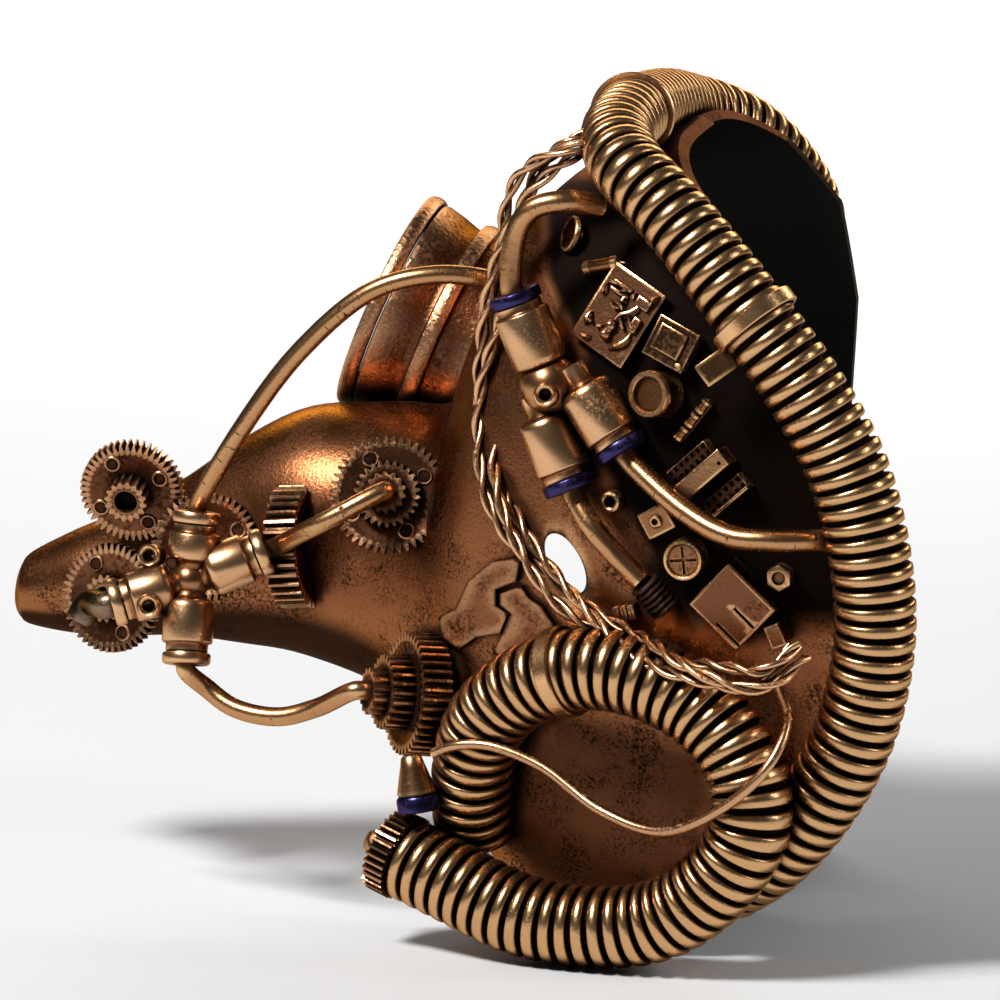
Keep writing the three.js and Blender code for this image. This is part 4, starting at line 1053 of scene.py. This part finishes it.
CLIP_BOXES = (
    ((0.9, 5.8, 8), (-1.5, 0, 4), 0.25), ((0.9, 5.8, 8), (1.5, 0, 4), 0.25),
    ((3.9, 5.8, 0.9), (0, 0, 8.4), 0.25), ((2.6, 3, 5), (0, 0, 2.6), 0.3),
)
FIN_BOXES = (
    ((1.8, 4, 4), (-2, 0, 2), 0.35), ((1.8, 4, 4), (0, 0, 2), 0.35), ((1.8, 4, 4), (2, 0, 2), 0.35),
    ((5.6, 3, 3), (0, 0, 1.6), 0.2),
)


def pitted_block(bm, size, depth, matrix, coat):
    """A block whose top is divided into cells, each with a pit in it."""
    before = set(bm.verts)
    width, height, thick = size
    columns, rows = SOCKET_ROWS
    sheet = bmesh.ops.create_grid(bm, x_segments=columns, y_segments=rows, size=0.5)["verts"]
    top = bmesh.ops.extrude_face_region(bm, geom=faces_on(sheet))["geom"]
    bmesh.ops.translate(bm, vec=(0, 0, 1), verts=of_kind(bmesh.types.BMVert, top))
    made = added(bm, before)
    bmesh.ops.scale(bm, vec=(width * MM, height * MM, thick * MM), verts=made)
    bmesh.ops.recalc_face_normals(bm, faces=faces_on(made))
    pits = of_kind(bmesh.types.BMFace, top)
    bmesh.ops.inset_individual(bm, faces=pits, thickness=SOCKET_RIM * MM, use_even_offset=True)
    inset = bmesh.ops.inset_individual(bm, faces=pits, thickness=SOCKET_WALL * MM, use_even_offset=True)
    floors = list({vert for face in pits for vert in face.verts})
    bmesh.ops.translate(bm, vec=(0, 0, -depth * MM), verts=floors)
    in_pits = {*pits, *inset["faces"]}
    square = [edge for edge in edges_on(added(bm, before)) if edge.calc_face_angle(0) > SQUARE_EDGE]
    rounded(bm, [edge for edge in square if in_pits.isdisjoint(edge.link_faces)], SOCKET_EDGE)
    made = added(bm, before)
    bmesh.ops.transform(bm, matrix=matrix, verts=made)
    for face in faces_on(made):
        face.material_index = coat


upper_block = bmesh.new()
upper_place = seated(59.5, 108.3, 0.72)
pitted_block(upper_block, UPPER_SOCKETS, UPPER_PIT, shifted(upper_place, -0.6, 2.4, 0), 1)
bevelled_box(upper_block, UPPER_BAR, shifted(upper_place, 0, -2, UPPER_BAR[2] / 2), UPPER_BAR_EDGE)
bar = as_object("flat_block_upper_glued", upper_block)
bar_axis = upper_place.to_3x3() @ Vector((0, 0, 1))
hole_at = upper_place @ (Vector(BAR_HOLE_AT) * MM)
cut_away(bar, [peg(hole_at, bar_axis, (BAR_HOLE, BAR_HOLE), BAR_HOLE_CUT)])
finished(bar, ["flat_block_upper"], [PARTS_GILT, PARTS_DARK])

lower_block = bmesh.new()
lower_place = seated(65.5, 101.3, 0.72)
pitted_block(lower_block, LOWER_SOCKETS, LOWER_PIT, lower_place, 1)
bevelled_box(lower_block, LOWER_BAR, shifted(lower_place, 0, -2, LOWER_BAR[2] / 2), LOWER_BAR_EDGE)
lipped = as_object("flat_block_lower_glued", lower_block)
finished(lipped, ["flat_block_lower"], [PARTS_GILT, PARTS_DARK])

lidded_box = bmesh.new()
box_place = seated(68.5, 75, -0.75)
bevelled_box(lidded_box, BOX_SIZE, shifted(box_place, 0, 0, BOX_SIZE[2] / 2), BOX_EDGE, BOX_EDGE_STEPS)
flat_sides = [face for face in lidded_box.faces if face.calc_area() > BOX_SIDE_AREA * MM ** 2]
flat_edges = list({edge for face in flat_sides for edge in face.edges})
bmesh.ops.subdivide_edges(lidded_box, edges=flat_edges, cuts=BOX_SIDE_CUTS, use_grid_fill=True)
slit_box = as_object("slotted_box_glued", lidded_box)
for y, length in BOX_SLITS:
    slit_cut = bmesh.new()
    slit_place = shifted(box_place, BOX_SLIT_RIGHT, y, BOX_SIZE[2])
    bevelled_box(slit_cut, (length, BOX_SLIT_WIDTH, BOX_SLIT_DEEP), slit_place, SLOT_EDGE)
    cut_away(slit_box, [slit_cut])
finished(slit_box, ["slotted_box"], [PARTS_BROWN])

resistors = bmesh.new()
row_place = seated(57.5, 120, -0.69)
for y in (-4.4, 0, 4.4):
    lathe(resistors, RESISTOR_PROFILE, shifted(row_place, 0, y, 2.6, "X", tau / 4), 24)
lead(resistors, row_place, (0, -6.4, 1), (0, -6.3, 2.6), (0, 0, 2.6), (0, 6.3, 2.6), (0, 6.4, 1))
bevelled_box(resistors, (2.6, 12, 1.4), shifted(row_place, 0, 0, 0.6), 0.3)
temple_part("resistor_chain", resistors, PARTS_GILT)

small_plate = bmesh.new()
plate_place = seated(48.3, 95, 0.5)
bevelled_box(small_plate, (8, 7, 2), shifted(plate_place, 0, 0, 1), 0.4)
lathe(small_plate, EYE_PROFILE, plate_place, 24, closed=True)
temple_part("small_plate", small_plate, PARTS_GILT)

clip = bmesh.new()
boxes(clip, seated(79, 68, 0.4), CLIP_BOXES)
temple_part("box_clip", clip, PARTS_GILT)

gold_block = bmesh.new()
boxes(gold_block, seated(41, 72.5, 0.2), FIN_BOXES)
temple_part("gold_block", gold_block, PARTS_GILT)

# Studio
# A plain pale floor, with soft boxes above to the left, at the right and over the floor behind.
# The camera looks from the side that the mask is drawn from, through a long lens.
VIEW_CENTRE, VIEW_WIDTH, CAMERA_AWAY, SENSOR, SEEN_TO = (9, 100, -30), 250, 6000, 36, 20
FLOOR_HALF, PAPER_GREY, PAPER_ROUGH, AIR_GLOW = 30, (0.6, 0.6, 0.6, 1), 0.9, 0.045
camera = bpy.data.objects.new("camera", bpy.data.cameras.new("camera"))
camera.data.sensor_width = SENSOR
camera.data.lens = SENSOR * CAMERA_AWAY / VIEW_WIDTH
camera.data.clip_end = SEEN_TO
camera.matrix_world = place(sighted(*VIEW_CENTRE) + NEAR * CAMERA_AWAY * MM, NEAR)
bpy.context.scene.collection.objects.link(camera)
bpy.context.scene.camera = camera

floor_sheet = bmesh.new()
bmesh.ops.create_grid(floor_sheet, x_segments=1, y_segments=1, size=FLOOR_HALF)
floor = as_object("floor", floor_sheet)
paper = bpy.data.materials.new("white_paper")
paper.use_nodes = True
paper_shader = paper.node_tree.nodes["Principled BSDF"]
paper_shader.inputs["Base Color"].default_value = PAPER_GREY
paper_shader.inputs["Roughness"].default_value = PAPER_ROUGH
floor.data.materials.append(paper)


def softbox(name, aim, away, power, width, height):
    lamp = bpy.data.lights.new(name, "AREA")
    lamp.shape, lamp.size, lamp.size_y, lamp.energy = "RECTANGLE", width, height, power
    box = bpy.data.objects.new(name, lamp)
    box.matrix_world = place(aim + away, away)
    bpy.context.scene.collection.objects.link(box)


mask_middle, floor_behind = sighted(*VIEW_CENTRE), Vector((0, 1, 0))
softbox("key_box", mask_middle, RIGHT * -0.8 + UP * 1.1 + NEAR * 0.9, 40, 0.45, 0.3)
softbox("side_box", mask_middle, RIGHT * 1.3 + UP * 0.6 + NEAR * 0.5, 4, 0.16, 0.9)
softbox("backdrop_box", floor_behind, Vector((0, 0.2, 0.7)), 18, 1.8, 0.6)
world = bpy.data.worlds.new("studio_air")
world.use_nodes = True
air = world.node_tree.nodes["Background"]
air.inputs["Color"].default_value = (1, 1, 1, 1)
air.inputs["Strength"].default_value = AIR_GLOW
bpy.context.scene.world = world
bpy.context.scene.view_settings.view_transform = "Standard"
